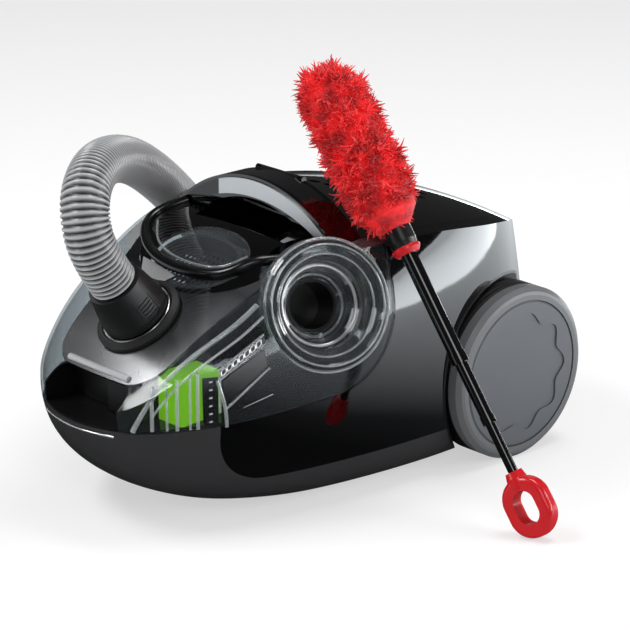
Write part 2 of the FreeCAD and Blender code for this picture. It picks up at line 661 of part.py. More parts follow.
def make_inlet():
    """A rubber seal and a bright ring round the inlet, and the pipe that leads into the bin."""
    hole = INLET_HOLE_R
    seal = turned([(28, -4), (hole - 0.3, -4), (hole - 0.3, 0), (hole + 3, 1), (hole + 3, 4), (hole - 1, 7),
                   (33.2, 7), (33.2, 0), (28, 0)])
    save(placed(seal.common(rod(60, -4, 8)), INLET_PLACE), "inlet_seal")
    trim = turned([(28, 0), (33, 0), (33, 5), (31.6, 6.4), (30.4, 6.4), (28, 4.5)])
    save(placed(trim, INLET_PLACE), "inlet_ring")
    pipe = ring(INLET_R + 2, INLET_R, -52, -4).fuse(ring(28, INLET_R, -8, -4)).fuse(ring(28, 25, -4, 4.4))
    save(placed(pipe, INLET_PLACE), "inlet_pipe")


def make_pan():
    """The black surround of the carry handle, with the window's hole and a well for the fingers."""
    pan = bin_skin(PAN_WALL).common(pan_space(0)).cut(MOUTH_CUT)
    half, front, back, floor = WELL
    inner = box(-half, half, front, back, floor, 320)
    outer = box(-half - 2.5, half + 2.5, front - 2.5, back + 2.5, floor - 2.5, 320).common(envelope(0.5))
    pan = fuse_all([pan, outer]).cut(inner)
    save(pan.cut(window_space(GAP)), "handle_surround")
    save(skin(CLEAR_WALL).common(window_space(0)).cut(box(-100, 100, WELL[1] - 3, 0, 0, 400)), "window")


MESH_R = 2.2
MESH_STEP = 6.0


def make_mesh_plate():
    """The perforated plate under the window, which screens the lint on its way to the filter."""
    half_x, half_y, y = 46.0, 24.0, -252.0
    rim = at(oval(half_x + 3, half_y + 3, 60, 320), 0, y).cut(at(oval(half_x, half_y, 60, 320), 0, y))
    rim = envelope(CLEAR_WALL).cut(envelope(16.0)).common(rim)
    plate = envelope(14.0).cut(envelope(16.0)).common(at(oval(half_x, half_y, 60, 320), 0, y))
    holes = []
    for i in range(-6, 7):
        for k in range(-3, 4):
            x, dy = i * MESH_STEP, k * MESH_STEP
            if (x / (half_x - 5)) ** 2 + (dy / (half_y - 4)) ** 2 < 1:
                holes.append(at(rod(MESH_R, 60, 320), x, y + dy))
    plate = plate.fuse(rim).cut(Part.makeCompound(holes))
    save(plate.cut(box(-100, 100, WELL[1] - 3, 0, 0, 400)), "lint_screen")


FILTER_BOX = (58.0, 88.0, -346.0, -304.0)


def make_filter_box():
    """A clear-lidded filter cartridge stands in the corner of the bin beside the inlet."""
    x0, x1, y0, y1 = FILTER_BOX
    room = envelope(CLEAR_WALL + 1.2).common(bin_space(GAP + CLEAR_WALL + 0.3))
    block = box(x0, x1, y0, y1, 90, 142).common(room)
    hollow = box(x0 + 4, x1 - 4, y0 + 4, y1 - 4, 108, 136).common(envelope(CLEAR_WALL + 5))
    save(block.cut(hollow), "filter_cartridge")


def make_cyclone():
    """The cyclone: an outer ring, a funnel that narrows inwards, a chamber and a dark vortex tube."""
    r = CYCLONE_R
    rim = turned([(50, -6), (r, -6), (r, 3), (r - 3, 7), (r - 6, 8), (50, 5)])
    rim = rim.cut(ring(55, 53, 6.4, 12))
    save(placed(rim, CYCLONE_PLACE), "cyclone_ring")
    funnel = turned([(50, 4.5), (50, 2), (44, 1), (40, -6), (39, -14), (33, -16), (31, -26), (25, -30),
                     (25, -34), (23, -34), (23, -28), (29, -24.5), (31, -14.5), (37, -12.4), (38, -5),
                     (42.5, 3), (46, 4.5)])
    save(placed(funnel, CYCLONE_PLACE), "cyclone_funnel")
    inside = envelope(CLEAR_WALL + 0.5).common(bin_space(GAP + CLEAR_WALL + 1.0))
    well = box(-WELL[0] - 3.5, WELL[0] + 3.5, WELL[1] - 3.5, -100, WELL[3] - 3.5, 320)
    wall = turned([(49.9, -6), (47.6, -6), (37.6, -CYCLONE_DEPTH), (39.9, -CYCLONE_DEPTH)])
    floor = rod(37.7, -CYCLONE_DEPTH, -CYCLONE_DEPTH + 2.4)
    lip = ring(56, 47.6, -8.4, -6)
    chamber = placed(fuse_all([wall, floor]), CYCLONE_PLACE).common(inside).cut(well)
    save(chamber.fuse(placed(lip, CYCLONE_PLACE)), "cyclone_chamber")
    foot = -CYCLONE_DEPTH + 2.4
    tube = turned([(22.9, -29), (20.5, -29), (19, -60), (0, -60), (0, foot), (12, foot), (14, -66),
                   (21, -62), (22.9, -40)])
    save(placed(tube, CYCLONE_PLACE), "vortex_tube")


# ---------------------------------------------------------------- carry handle and dock
HANDLE_FOOT = 104.0           # half span of the arch at its feet
HANDLE_TOP_Z = HANDLE_END_Z + HANDLE_RISE + 7.0
HANDLE_UNDER_Z = HANDLE_TOP_Z - HANDLE_THICK
FOOT_Z = 226.0
LID_HALF = 60.0
LID_THICK = 2.2
DOCK = (54.0, 19.0, 9.0)      # half length, width and depth of the duster's dock
HINGE_R = 1.5
HINGE_HALF = 24.0


def arch_prism(top_z, half, y0, y1, foot_z=FOOT_Z):
    """The segment of a circular arch from foot to foot, pulled along Y."""
    a, b, c = V(-half, y0, foot_z), V(0, y0, top_z), V(half, y0, foot_z)
    wire = Part.Wire([Part.Arc(a, b, c).toShape(), Part.LineSegment(c, a).toShape()])
    return Part.Face(wire).extrude(V(0, y1 - y0, 0))


def make_handle():
    """A moulded arch across the bin, with a bright band in front and a lidded dock on top."""
    y0, y1 = HANDLE_Y - HANDLE_DEPTH / 2, HANDLE_Y + HANDLE_DEPTH / 2
    arch = arch_prism(HANDLE_TOP_Z, HANDLE_FOOT, y0, y1)
    arch = arch.cut(arch_prism(HANDLE_UNDER_Z, WELL[0] + 14, y0 - 1, y1 + 1))
    arch = cut_all(arch, [envelope(0.0), placed(rod(CYCLONE_R + 0.4, -40, 60), CYCLONE_PLACE)])
    dock = box(-DOCK[0], DOCK[0], HANDLE_Y - DOCK[1] / 2, HANDLE_Y + DOCK[1] / 2, 200, 400)
    dock_floor = arch_prism(HANDLE_TOP_Z - LID_THICK - DOCK[2], HANDLE_FOOT, y0 - 1, y1 + 1, 210)
    arch = arch.cut(dock.cut(dock_floor))
    seat = box(-LID_HALF - 0.3, LID_HALF + 0.3, HANDLE_Y - 12.3, HANDLE_Y + 12.3, 200, 400)
    bed = arch_prism(HANDLE_TOP_Z - LID_THICK - 0.3, HANDLE_FOOT, y0 - 1, y1 + 1, FOOT_Z - LID_THICK - 0.3)
    arch = arch.cut(seat.cut(bed))
    hinge_y, hinge_z = HANDLE_Y + 14.0, HANDLE_TOP_Z - 2.2
    notch = box(-HINGE_HALF - 0.3, HINGE_HALF + 0.3, hinge_y - 3.4, y1 + 1, hinge_z - 3.4, 400)
    ear = HINGE_HALF + 3.3
    ears = [rod_x(3.0, side * ear - 3, side * ear + 3, hinge_y, hinge_z) for side in (-1, 1)]
    pin = rod_x(HINGE_R, -HINGE_HALF - 6, HINGE_HALF + 6, hinge_y, hinge_z)
    arch = fuse_all([arch.cut(notch), *ears]).cut(pin)
    save(arch, "carry_handle")
    save(pin, "dock_hinge_pin")
    lid = box(-LID_HALF, LID_HALF, HANDLE_Y - 12, HANDLE_Y + 12, 200, 400).common(
        arch_prism(HANDLE_TOP_Z, HANDLE_FOOT, y0, y1)).cut(
        arch_prism(HANDLE_TOP_Z - LID_THICK, HANDLE_FOOT, y0 - 1, y1 + 1, FOOT_Z - LID_THICK))
    lid = cut_all(lid, [rod_x(3.3, side * ear - 3.3, side * ear + 3.3, hinge_y, hinge_z)
                        for side in (-1, 1)])
    knuckle = rod_x(3.0, -HINGE_HALF, HINGE_HALF, hinge_y, hinge_z)
    tongue = box(-HINGE_HALF, HINGE_HALF, HANDLE_Y + 10, hinge_y, 200, 400).common(
        arch_prism(HANDLE_TOP_Z - 0.4, HANDLE_FOOT, y0, y1)).cut(
        arch_prism(HANDLE_TOP_Z - LID_THICK, HANDLE_FOOT, y0 - 1, y1 + 1, FOOT_Z - LID_THICK))
    lid = fuse_all([lid, tongue, knuckle]).cut(rod_x(HINGE_R + RUN, -80, 80, hinge_y, hinge_z))
    save(lid, "dock_lid")
    band = arch_prism(HANDLE_TOP_Z - 3, HANDLE_FOOT - 4, y0 - 1.6, y0).cut(
        arch_prism(HANDLE_UNDER_Z + 2, HANDLE_FOOT - 16, y0 - 3, y0 + 1))
    save(band.cut(envelope(-0.0)).cut(placed(rod(CYCLONE_R + 0.8, -40, 60), CYCLONE_PLACE)), "handle_band")


# ---------------------------------------------------------------- hose
CUFF_TOP = 46.0              # how far the cuff stands out of the inlet
GRIP_LENGTH = 130.0
GRIP_BORE = 16.0
SOCKET_DEPTH = 55.0
LOOP_CENTRE = V(-360, 190, 0)
LOOP_R = 190.0
HOSE_REST_Z = HOSE_R + 0.5

# The hose rises out of the cuff, bends over the cleaner's far side and comes down to the floor.
HOSE_ROUTE = [(0.0, -345.1, 206.6), (0.0, -372.1, 244.0), (-12.0, -384.0, 286.0), (-36.0, -362.0, 316.0),
              (-74.0, -304.0, 310.0), (-108.0, -238.0, 276.0), (-146.0, -170.0, 228.0),
              (-180.0, -108.0, 178.0), (-206.0, -52.0, 124.0), (-224.0, 4.0, 74.0), (-228.0, 60.0, 36.0),
              (-206.0, 110.0, HOSE_REST_Z)]
LOOP_ANGLES = (-10, 20, 50, 80, 105)
LOOP_TAIL = 55.0             # straight run from the loop into the grip


def hose_points():
    """The route, then part of a turn on the floor behind the cleaner, then a straight run to the grip."""
    points = [V(*p) for p in HOSE_ROUTE]
    for angle in LOOP_ANGLES:
        a = math.radians(angle)
        points.append(LOOP_CENTRE + V(LOOP_R * math.cos(a), LOOP_R * math.sin(a), HOSE_REST_Z))
    last = math.radians(LOOP_ANGLES[-1])
    points.append(points[-1] + V(-math.sin(last), math.cos(last), 0) * LOOP_TAIL)
    return points


def hose_path(points):
    """Straight runs joined by tangent arcs, each as large as its two runs allow."""
    edges, radii = [], []
    start = points[0]
    for before, corner, after in zip(points, points[1:], points[2:]):
        into, out = (corner - before), (after - corner)
        shorter = min(into.Length, out.Length)
        into.normalize()
        out.normalize()
        half = into.getAngle(out) / 2
        reach = 0.45 * shorter
        radii.append(reach / math.tan(half))
        a, b = corner - into * reach, corner + out * reach
        middle = corner + (out - into).normalize() * (radii[-1] / math.cos(half) - radii[-1])
        edges += [Part.LineSegment(start, a).toShape(), Part.Arc(a, middle, b).toShape()]
        start = b
    edges.append(Part.LineSegment(start, points[-1]).toShape())
    return Part.Wire(edges), radii


def make_hose():
    points = hose_points()
    wire, radii = hose_path(points)
    start = (points[1] - points[0]).normalize()
    section = Part.Wire([Part.Circle(points[0], start, HOSE_R).toShape()])
    tube = wire.makePipeShell([section], True, False)
    print("hose radii", [round(r) for r in radii])
    print("hose length", round(wire.Length), "volume ratio",
          round(tube.Volume / (math.pi * HOSE_R ** 2 * wire.Length), 4), "valid", tube.isValid())
    save(tube, "hose_tube")


def make_hose_ends():
    """A cuff that plugs into the inlet, and a hand grip whose socket takes the wand."""
    cuff = turned([(19.9, -30), (19.9, 0), (24.8, 5), (27.8, 5), (30.2, 8), (30.2, 15), (26.0, 38),
                   (24.2, CUFF_TOP), (17.5, CUFF_TOP), (17.5, -30)])
    button_cut = box(-8.3, 8.3, 18, 40, 12, 33)
    save(placed(cuff.cut(button_cut.common(ring(40, 19.4, 12, 33))), CUFF_PLACE), "hose_cuff")
    button = box(-8, 8, 18, 40, 12.3, 32.7).common(
        turned([(21.6, 12), (29.6, 12), (29.6, 16), (26.6, 33), (21.6, 33)]))
    ribs = [box(-6, 6, 20, 40, z, z + 1.6) for z in (15, 18.4, 21.8, 25.2, 28.6)]
    ribs = [r.common(turned([(22, 12), (30.6, 12), (30.6, 16), (27.6, 33), (22, 33)])) for r in ribs]
    save(placed(fuse_all([button, *ribs]), CUFF_PLACE), "cuff_latch_button")
    points = hose_points()
    direction = (points[-1] - points[-2]).normalize()
    place = frame_at(points[-1], direction, Z)
    outer = HOSE_R
    length = GRIP_LENGTH
    socket = length - SOCKET_DEPTH
    grip = turned([(0, 0), (outer - 0.2, 0), (outer, 3), (outer, 30), (18.5, 60), (18.5, length - 70),
                   (outer, length - 50), (outer, length), (GRIP_BORE, length), (GRIP_BORE, socket),
                   (14.5, socket - 4), (14.5, 4), (0, 4)])
    grip = grip.cut(rod(14.5, -1, 5))
    save(placed(grip, place), "hose_grip")
    print("grip mouth", points[-1] + direction * length, "direction", direction)


# ---------------------------------------------------------------- duster
DUSTER_AXIS = DUSTER_NECK - DUSTER_FOOT
NECK_AT = DUSTER_AXIS.Length
RING_FACES = V(0.42, -0.9, 0)   # the way that the flat ring of the duster's handle faces
DUSTER_PLACE = frame_at(DUSTER_FOOT, DUSTER_AXIS, RING_FACES)
GRIP_TOP = 66.0               # where the inner tube leaves the handle
STEP_ONE = 114.0              # end of the middle tube
STEP_TWO = 172.0              # end of the outer tube
OVERLAP = 50.0                # what each drawn-out tube keeps inside the next
HEAD_LENGTH = 172.0
HEAD_CORE_R = 25.0


def make_duster():
    """A microfibre head on a telescopic pole with a ring handle; it leans on the cleaner's edge."""
    r3, r2, r1 = TUBE_RADII
    neck = NECK_AT
    outer = ring(r3, r3 - TUBE_WALL, STEP_TWO, neck + 6)
    outer = outer.fuse(ring(r3 + 0.8, r2 + 0.1, STEP_TWO - 4, STEP_TWO + 6))
    middle = ring(r2, r2 - TUBE_WALL, STEP_ONE, STEP_TWO + OVERLAP)
    middle = middle.fuse(ring(r2 + 0.7, r1 + 0.1, STEP_ONE - 3, STEP_ONE + 5))
    middle = middle.cut(ring(r2 + 2, r2, STEP_ONE + 5, neck))
    outer = outer.cut(rod(r2 + 0.1, 0, STEP_TWO + 8))
    middle = middle.cut(rod(r1 + 0.1, 0, STEP_ONE + 6))
    inner = ring(r1, r1 - TUBE_WALL, GRIP_TOP - 18, STEP_ONE + OVERLAP)
    save(placed(outer, DUSTER_PLACE), "duster_outer_tube")
    save(placed(middle, DUSTER_PLACE), "duster_middle_tube")
    save(placed(inner, DUSTER_PLACE), "duster_inner_tube")
    collar = turned([(r3, neck - 6), (10, neck - 6), (COLLAR_R, neck - 2), (COLLAR_R, neck), (12, neck + 1),
                     (r3, neck + 1)])
    save(placed(collar, DUSTER_PLACE), "duster_collar")
    cup = turned([(0, neck + 6), (r3, neck + 6), (r3, neck + 1), (11.5, neck + 1), (12.5, neck + 6),
                  (12.5, neck + 18), (0, neck + 18)])
    save(placed(cup, DUSTER_PLACE), "duster_neck_cup")
    tip = neck + HEAD_LENGTH
    head = turned([(0, neck + 18), (12.5, neck + 18), (HEAD_CORE_R, neck + 32), (HEAD_CORE_R, tip - 20),
                   (HEAD_CORE_R - 7, tip - 6), (0, tip)])
    save(placed(head, DUSTER_PLACE), "duster_head")


def make_duster_handle():
    """A flat red ring whose lower edge rests on the floor."""
    wide, thick, long = 42.0, 17.0, 54.0
    middle = 33.5
    r1 = TUBE_RADII[2]
    top = GRIP_TOP
    ringed = slot(long, wide, -thick / 2, thick / 2)
    ringed = ringed.makeFillet(5.0, [e for e in ringed.Edges])
    hole = slot(30, 20, -thick, thick)
    body = ringed.cut(hole)
    body.rotate(V(), Y, 90)
    body.translate(V(0, 0, middle))
    throat = turned([(0, middle + 18), (9.5, middle + 18), (9, top - 6), (7.5, top), (0, top)])
    body = body.fuse(throat).cut(rod(r1, GRIP_TOP - 18, 90))
    save(placed(body, DUSTER_PLACE), "duster_handle")


def make_all():
    make_tub()
    make_screws()
    make_cord_outlet()
    make_deck()
    make_panels()
    make_rear_cover()
    make_pedals()
    make_exhaust_filter()
    make_arches()
    make_wheels()
    make_caster()
    make_motor()
    make_cord_reel()
    make_bulkhead_fittings()
    make_fascia(make_bin_shells())
    make_release_plate()
    make_inlet()
    make_pan()
    make_mesh_plate()
    make_filter_box()
    make_cyclone()
    make_handle()
    make_hose()
    make_hose_ends()
    make_duster()
    make_duster_handle()


make_all()
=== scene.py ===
"""The looks of a bagless canister vacuum cleaner with its hose and a telescopic duster."""

import math
import random

import bpy
from mathutils import Matrix, Vector


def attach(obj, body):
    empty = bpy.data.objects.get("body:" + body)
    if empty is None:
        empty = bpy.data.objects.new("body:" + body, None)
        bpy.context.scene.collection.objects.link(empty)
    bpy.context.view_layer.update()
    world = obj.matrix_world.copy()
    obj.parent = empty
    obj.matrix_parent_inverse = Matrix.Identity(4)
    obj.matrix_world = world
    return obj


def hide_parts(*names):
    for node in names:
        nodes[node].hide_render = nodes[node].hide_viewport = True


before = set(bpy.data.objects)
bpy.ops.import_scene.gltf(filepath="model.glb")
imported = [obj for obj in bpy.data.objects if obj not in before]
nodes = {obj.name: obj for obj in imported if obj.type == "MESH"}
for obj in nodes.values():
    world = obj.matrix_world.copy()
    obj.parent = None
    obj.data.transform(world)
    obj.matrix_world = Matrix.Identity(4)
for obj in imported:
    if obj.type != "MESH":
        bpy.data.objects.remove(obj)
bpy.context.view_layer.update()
scene = bpy.context.scene
scene.view_settings.view_transform = "Standard"


# ---------------------------------------------------------------- camera
# A long lens stands a little above the cleaner, off its nose and its left side, so that the lines
# of the body hardly converge.
CAMERA_PLACE = (1.75649, -1.72456, 0.93589)
CAMERA_BACK = Vector((0.6979, -0.6395, 0.3223))
LENS_MM, SENSOR_MM = 158.86, 36

camera = bpy.data.objects.new("camera", bpy.data.cameras.new("camera"))
camera.location = CAMERA_PLACE
camera.rotation_euler = (-CAMERA_BACK).to_track_quat("-Z", "Y").to_euler()
camera.data.sensor_width = SENSOR_MM
camera.data.lens = LENS_MM
scene.collection.objects.link(camera)
scene.camera = camera


# ---------------------------------------------------------------- hose
# Soft grey vinyl extruded over a coiled steel wire, which leaves a crest every 4.5 mm with a groove
# after it; near-black colour in the grooves is painted shade, and a paler line on each crest is a
# painted highlight. The ends are glued into the cuff and the grip. It arches out of the cuff, over the
# far side, and lies on the floor in part of a turn.
HOSE_D = 0.042
CREST_STEP, CREST_DEPTH = 0.0045, 0.0021
RINGS_PER_CREST, HOSE_SIDES = 6, 40
HOSE_ROUTE = [(0, -0.3451, 0.2066), (0, -0.3645, 0.2335), (-0.003, -0.372, 0.264), (-0.015, -0.361, 0.290),
              (-0.045, -0.322, 0.299), (-0.090, -0.256, 0.281), (-0.138, -0.182, 0.238),
              (-0.177, -0.112, 0.183), (-0.205, -0.052, 0.126), (-0.224, 0.004, 0.076),
              (-0.228, 0.060, 0.037), (-0.206, 0.110, 0.0215)]
LOOP_CENTRE, LOOP_R, LOOP_TAIL = Vector((-0.360, 0.190, 0.0215)), 0.190, 0.055
LOOP_ANGLES = [math.radians(a) for a in (-10, 20, 50, 80, 105)]
DRIFT_MM = 71


def linear(code):
    """An sRGB hex colour such as "d81e26" as linear RGBA."""
    parts = [int(code[i:i + 2], 16) / 255 for i in (0, 2, 4)]
    return [p / 12.92 if p <= 0.04045 else ((p + 0.055) / 1.055) ** 2.4 for p in parts] + [1.0]


def node(tree, kind, sockets=(), **settings):
    """Adds a node, sets its settings, then links or sets the given input sockets."""
    made = tree.nodes.new(kind)
    for key, value in settings.items():
        setattr(made, key, value)
    for key, value in dict(sockets).items():
        if isinstance(value, bpy.types.NodeSocket):
            tree.links.new(value, made.inputs[key])
        else:
            made.inputs[key].default_value = value
    return made


def plastic(name, colour, roughness, grain=0.0, grain_mm=1.1, shade=0.12, **extra):
    """A moulded surface: its colour and gloss drift a little, and a grain of grain_mm bumps it."""
    material = bpy.data.materials.new(name)
    material.use_nodes = True
    tree = material.node_tree
    surface = tree.nodes["Principled BSDF"]
    place = node(tree, "ShaderNodeTexCoord").outputs["Object"]
    drift = node(tree, "ShaderNodeTexNoise", {"Vector": place, "Scale": 1000 / DRIFT_MM,
                                              "Detail": 3}).outputs["Fac"]
    fine = node(tree, "ShaderNodeTexNoise", {"Vector": place, "Scale": 1000 / grain_mm,
                                             "Detail": 2}).outputs["Fac"]
    dark = [c * (1 - shade) for c in linear(colour)[:3]] + [1]
    mixed = node(tree, "ShaderNodeMix", {0: drift, 6: dark, 7: linear(colour)}, data_type="RGBA")
    gloss = node(tree, "ShaderNodeMapRange", {"Value": drift, "To Min": roughness * 0.85,
                                              "To Max": roughness * 1.2})
    bump = node(tree, "ShaderNodeBump", {"Height": fine, "Strength": grain, "Distance": 0.0004})
    tree.links.new(mixed.outputs[2], surface.inputs["Base Color"])
    tree.links.new(gloss.outputs["Result"], surface.inputs["Roughness"])
    tree.links.new(bump.outputs["Normal"], surface.inputs["Normal"])
    for key, value in extra.items():
        surface.inputs[key.replace("_", " ")].default_value = value
    return material


def add_piece(name, mesh, body, material):
    """Puts a mesh into the scene as a smooth piece that rides on a CAD body."""
    piece = bpy.data.objects.new(name, mesh)
    scene.collection.objects.link(piece)
    mesh.materials.clear()
    mesh.materials.append(material)
    mesh.shade_smooth()
    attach(piece, body)
    return piece


def curve_mesh(name, places, steps, radius=0.0):
    """A smooth curve near the places as a mesh: a bare line, or a round capped bar."""
    curve = bpy.data.curves.new(name, "CURVE")
    curve.dimensions = "3D"
    curve.resolution_u = steps
    curve.bevel_depth = radius
    curve.bevel_resolution = 4
    curve.use_fill_caps = radius > 0
    run = curve.splines.new("NURBS")
    run.points.add(len(places) - 1)
    for point, place in zip(run.points, places):
        point.co = (*place, 1)
    run.order_u = 3
    run.use_endpoint_u = True
    made = bpy.data.objects.new(name, curve)
    scene.collection.objects.link(made)
    bpy.context.view_layer.update()
    mesh = bpy.data.meshes.new_from_object(made.evaluated_get(bpy.context.evaluated_depsgraph_get()))
    bpy.data.objects.remove(made)
    return mesh


def along(points, step):
    """Points about every step along a polyline, with the ends kept, and its length."""
    total = sum((b - a).length for a, b in zip(points, points[1:]))
    count = round(total / step)
    spacing, out, gone, wanted = total / count, [points[0]], 0.0, total / count
    for a, b in zip(points, points[1:]):
        length = (b - a).length
        while wanted <= gone + length + 1e-9 and len(out) < count:
            out.append(a.lerp(b, (wanted - gone) / length))
            wanted += spacing
        gone += length
    return out + [points[-1]], total


def swept(name, points, radius_at, sides):
    """A closed tube round the points; radius_at gives each ring its radius."""
    vertices, faces = [], []
    across = Vector((1, 0, 0))
    for i, point in enumerate(points):
        ahead = (points[min(i + 1, len(points) - 1)] - points[max(i - 1, 0)]).normalized()
        across = (across - ahead * across.dot(ahead)).normalized()
        up = ahead.cross(across)
        for k in range(sides):
            turn = math.tau * k / sides
            vertices.append(point + (across * math.cos(turn) + up * math.sin(turn)) * radius_at(i))
    for i in range(len(points) - 1):
        for k in range(sides):
            a, b = i * sides + k, i * sides + (k + 1) % sides
            faces.append((a, b, b + sides, a + sides))
    last = (len(points) - 1) * sides
    faces += [tuple(range(sides - 1, -1, -1)), tuple(range(last, last + sides))]
    mesh = bpy.data.meshes.new(name)
    mesh.from_pydata(vertices, [], faces)
    return mesh


def crest(ring):
    """How far a ring stands between groove, 0, and crest, 1."""
    return 0.5 - 0.5 * math.cos(math.tau * ring / RINGS_PER_CREST)


def hose_radius(ring):
    """The hose's radius at a ring: the grooves are wide and the crests round."""
    return HOSE_D / 2 - CREST_DEPTH * (1 - crest(ring)) ** 1.5


route = [Vector(p) for p in HOSE_ROUTE]
for angle in LOOP_ANGLES:
    route.append(LOOP_CENTRE + Vector((math.cos(angle), math.sin(angle), 0)) * LOOP_R)
route.append(route[-1] + Vector((-math.sin(LOOP_ANGLES[-1]), math.cos(LOOP_ANGLES[-1]), 0)) * LOOP_TAIL)
line_mesh = curve_mesh("hose_line", route, 48)
centre_line = [v.co.copy() for v in line_mesh.vertices]
bpy.data.meshes.remove(line_mesh)
hose_points, hose_length = along(centre_line, CREST_STEP / RINGS_PER_CREST)
hose_mesh = swept("hose", hose_points, hose_radius, HOSE_SIDES)
ridge = hose_mesh.attributes.new("ridge", "FLOAT", "POINT")
ridge.data.foreach_set("value", [crest(i // HOSE_SIDES) for i in range(len(hose_mesh.vertices))])

# Glossy vinyl: the paler line on each crest is a painted highlight, and the near-black colour in the grooves
# is painted shade.
vinyl = plastic("hose_vinyl", "a9abad", 0.24, grain=0.08, grain_mm=1.7)
vinyl_tree = vinyl.node_tree
height = node(vinyl_tree, "ShaderNodeAttribute", attribute_name="ridge").outputs["Fac"]
tint = node(vinyl_tree, "ShaderNodeMix", {0: height, 6: linear("0c0c0d"), 7: linear("b4b6b8")},
            data_type="RGBA")
vinyl_tree.links.new(tint.outputs[2], vinyl_tree.nodes["Principled BSDF"].inputs["Base Color"])
hose = add_piece("hose", hose_mesh, "hose", vinyl)
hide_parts("hose_tube")


# ---------------------------------------------------------------- floor
# A seamless white studio table. What polished covers mirror of it is nearly black close to the
# cleaner and bright beyond a crisp edge further off, as with a dark card laid beside the object.
FLOOR_HALF = 6
FLOOR_GLOW = 0.55
MIRROR_WAY, MIRROR_REACH = (0.62, 0.78, 0), 4.0
MIRROR_NEAR, MIRROR_FAR = 0.003, 0.45
MIRROR_STEPS = ((0.03, 0.01), (0.07, 0.075), (0.14, 0.17), (0.262, 0.30), (0.272, 1.0), (0.5, 0.78))
MIRROR_STRENGTH = 9.5
BEHIND_FROM, BEHIND_TO, BEHIND_STRENGTH = -0.45, -1.0, 1.1

floor_mesh = bpy.data.meshes.new("floor")
floor_mesh.from_pydata([(FLOOR_HALF * x, FLOOR_HALF * y, 0) for x, y in ((-1, -1), (1, -1), (1, 1), (-1, 1))],
                       [], [(0, 1, 2, 3)])
floor_paint = plastic("floor_paint", "ffffff", 0.9, shade=0.01, Specular_IOR_Level=0.0)
floor_tree = floor_paint.node_tree
floor_ray = node(floor_tree, "ShaderNodeLightPath").outputs
glow = node(floor_tree, "ShaderNodeEmission", {"Color": linear("ffffff")})
glow_share = node(floor_tree, "ShaderNodeMath", {0: floor_ray["Is Camera Ray"], 1: FLOOR_GLOW},
                  operation="MULTIPLY")
lit = node(floor_tree, "ShaderNodeMixShader", {0: glow_share.outputs[0], 2: glow.outputs[0],
                                               1: floor_tree.nodes["Principled BSDF"].outputs[0]})
floor_place = node(floor_tree, "ShaderNodeTexCoord").outputs["Object"]
distance = node(floor_tree, "ShaderNodeVectorMath", {0: floor_place, 1: MIRROR_WAY},
                operation="DOT_PRODUCT").outputs["Value"]
reached = node(floor_tree, "ShaderNodeMapRange", {"Value": distance, "From Max": MIRROR_REACH})
fall = node(floor_tree, "ShaderNodeValToRGB", {"Fac": reached.outputs["Result"]})
for at, level in MIRROR_STEPS:
    fall.color_ramp.elements.new(at).color = (level, level, level, 1)
fall.color_ramp.elements[0].color = (MIRROR_NEAR, MIRROR_NEAR, MIRROR_NEAR, 1)
fall.color_ramp.elements[-1].color = (MIRROR_FAR, MIRROR_FAR, MIRROR_FAR, 1)
ahead_light = node(floor_tree, "ShaderNodeMapRange", {"Value": fall.outputs["Color"],
                                                      "To Max": MIRROR_STRENGTH})
behind_light = node(floor_tree, "ShaderNodeMapRange", {
    "Value": distance, "From Min": BEHIND_FROM, "From Max": BEHIND_TO, "To Min": 0.0,
    "To Max": BEHIND_STRENGTH}, interpolation_type="SMOOTHSTEP")
mirror_light = node(floor_tree, "ShaderNodeMath", {0: ahead_light.outputs["Result"],
                                                   1: behind_light.outputs["Result"]}, operation="ADD")
mirrored = node(floor_tree, "ShaderNodeEmission", {"Color": linear("eef4f8"),
                                                   "Strength": mirror_light.outputs[0]})
shown = node(floor_tree, "ShaderNodeMixShader", {0: floor_ray["Is Glossy Ray"], 1: lit.outputs[0],
                                                 2: mirrored.outputs[0]})
floor_tree.links.new(shown.outputs[0], floor_tree.nodes["Material Output"].inputs["Surface"])
floor_mesh.materials.append(floor_paint)
floor = bpy.data.objects.new("floor", floor_mesh)
scene.collection.objects.link(floor)


# ---------------------------------------------------------------- studio light
# Five soft boxes of white cloth and a white room. The room is full white only to the lens and
# through clear walls; it lights the object faintly, and polished covers mirror still less of it.
ROOM_LIGHT, ROOM_IN_GLOSS = 0.2, 0.04

world = bpy.data.worlds.new("studio")
world.use_nodes = True
scene.world = world
room_tree = world.node_tree
room_ray = node(room_tree, "ShaderNodeLightPath").outputs
seen = node(room_tree, "ShaderNodeMath", {0: room_ray["Is Camera Ray"], 1: room_ray["Is Transmission Ray"]},
            operation="MAXIMUM")
dim = node(room_tree, "ShaderNodeMapRange", {"Value": room_ray["Is Glossy Ray"], "To Min": ROOM_LIGHT,
                                             "To Max": ROOM_IN_GLOSS})
room_level = node(room_tree, "ShaderNodeMapRange", {"Value": seen.outputs[0], "To Min": dim.outputs["Result"],
                                                    "To Max": 1.0})
room_tree.nodes["Background"].inputs["Color"].default_value = linear("ffffff")
room_tree.links.new(room_level.outputs["Result"], room_tree.nodes["Background"].inputs["Strength"])


def soft_box(name, place, target, width, height, watts, fade=0.0):
    """A rectangular area light that faces its target; its lower edge can fade out."""
    lamp = bpy.data.lights.new(name, "AREA")
    lamp.shape = "RECTANGLE"
    lamp.size, lamp.size_y, lamp.energy = width, height, watts
    lamp.use_nodes = True
    tree = lamp.node_tree
    spot = node(tree, "ShaderNodeNewGeometry").outputs["Parametric"]
    up = node(tree, "ShaderNodeSeparateXYZ", {0: spot}).outputs["Y"]
    ramp = node(tree, "ShaderNodeMapRange", {"Value": up, "To Min": 1 - fade, "To Max": 1 + fade})
    tree.links.new(ramp.outputs["Result"], tree.nodes["Emission"].inputs["Strength"])
    box = bpy.data.objects.new(name, lamp)
    box.location = place
    box.rotation_euler = (Vector(target) - Vector(place)).to_track_quat("-Z", "Y").to_euler()
    scene.collection.objects.link(box)


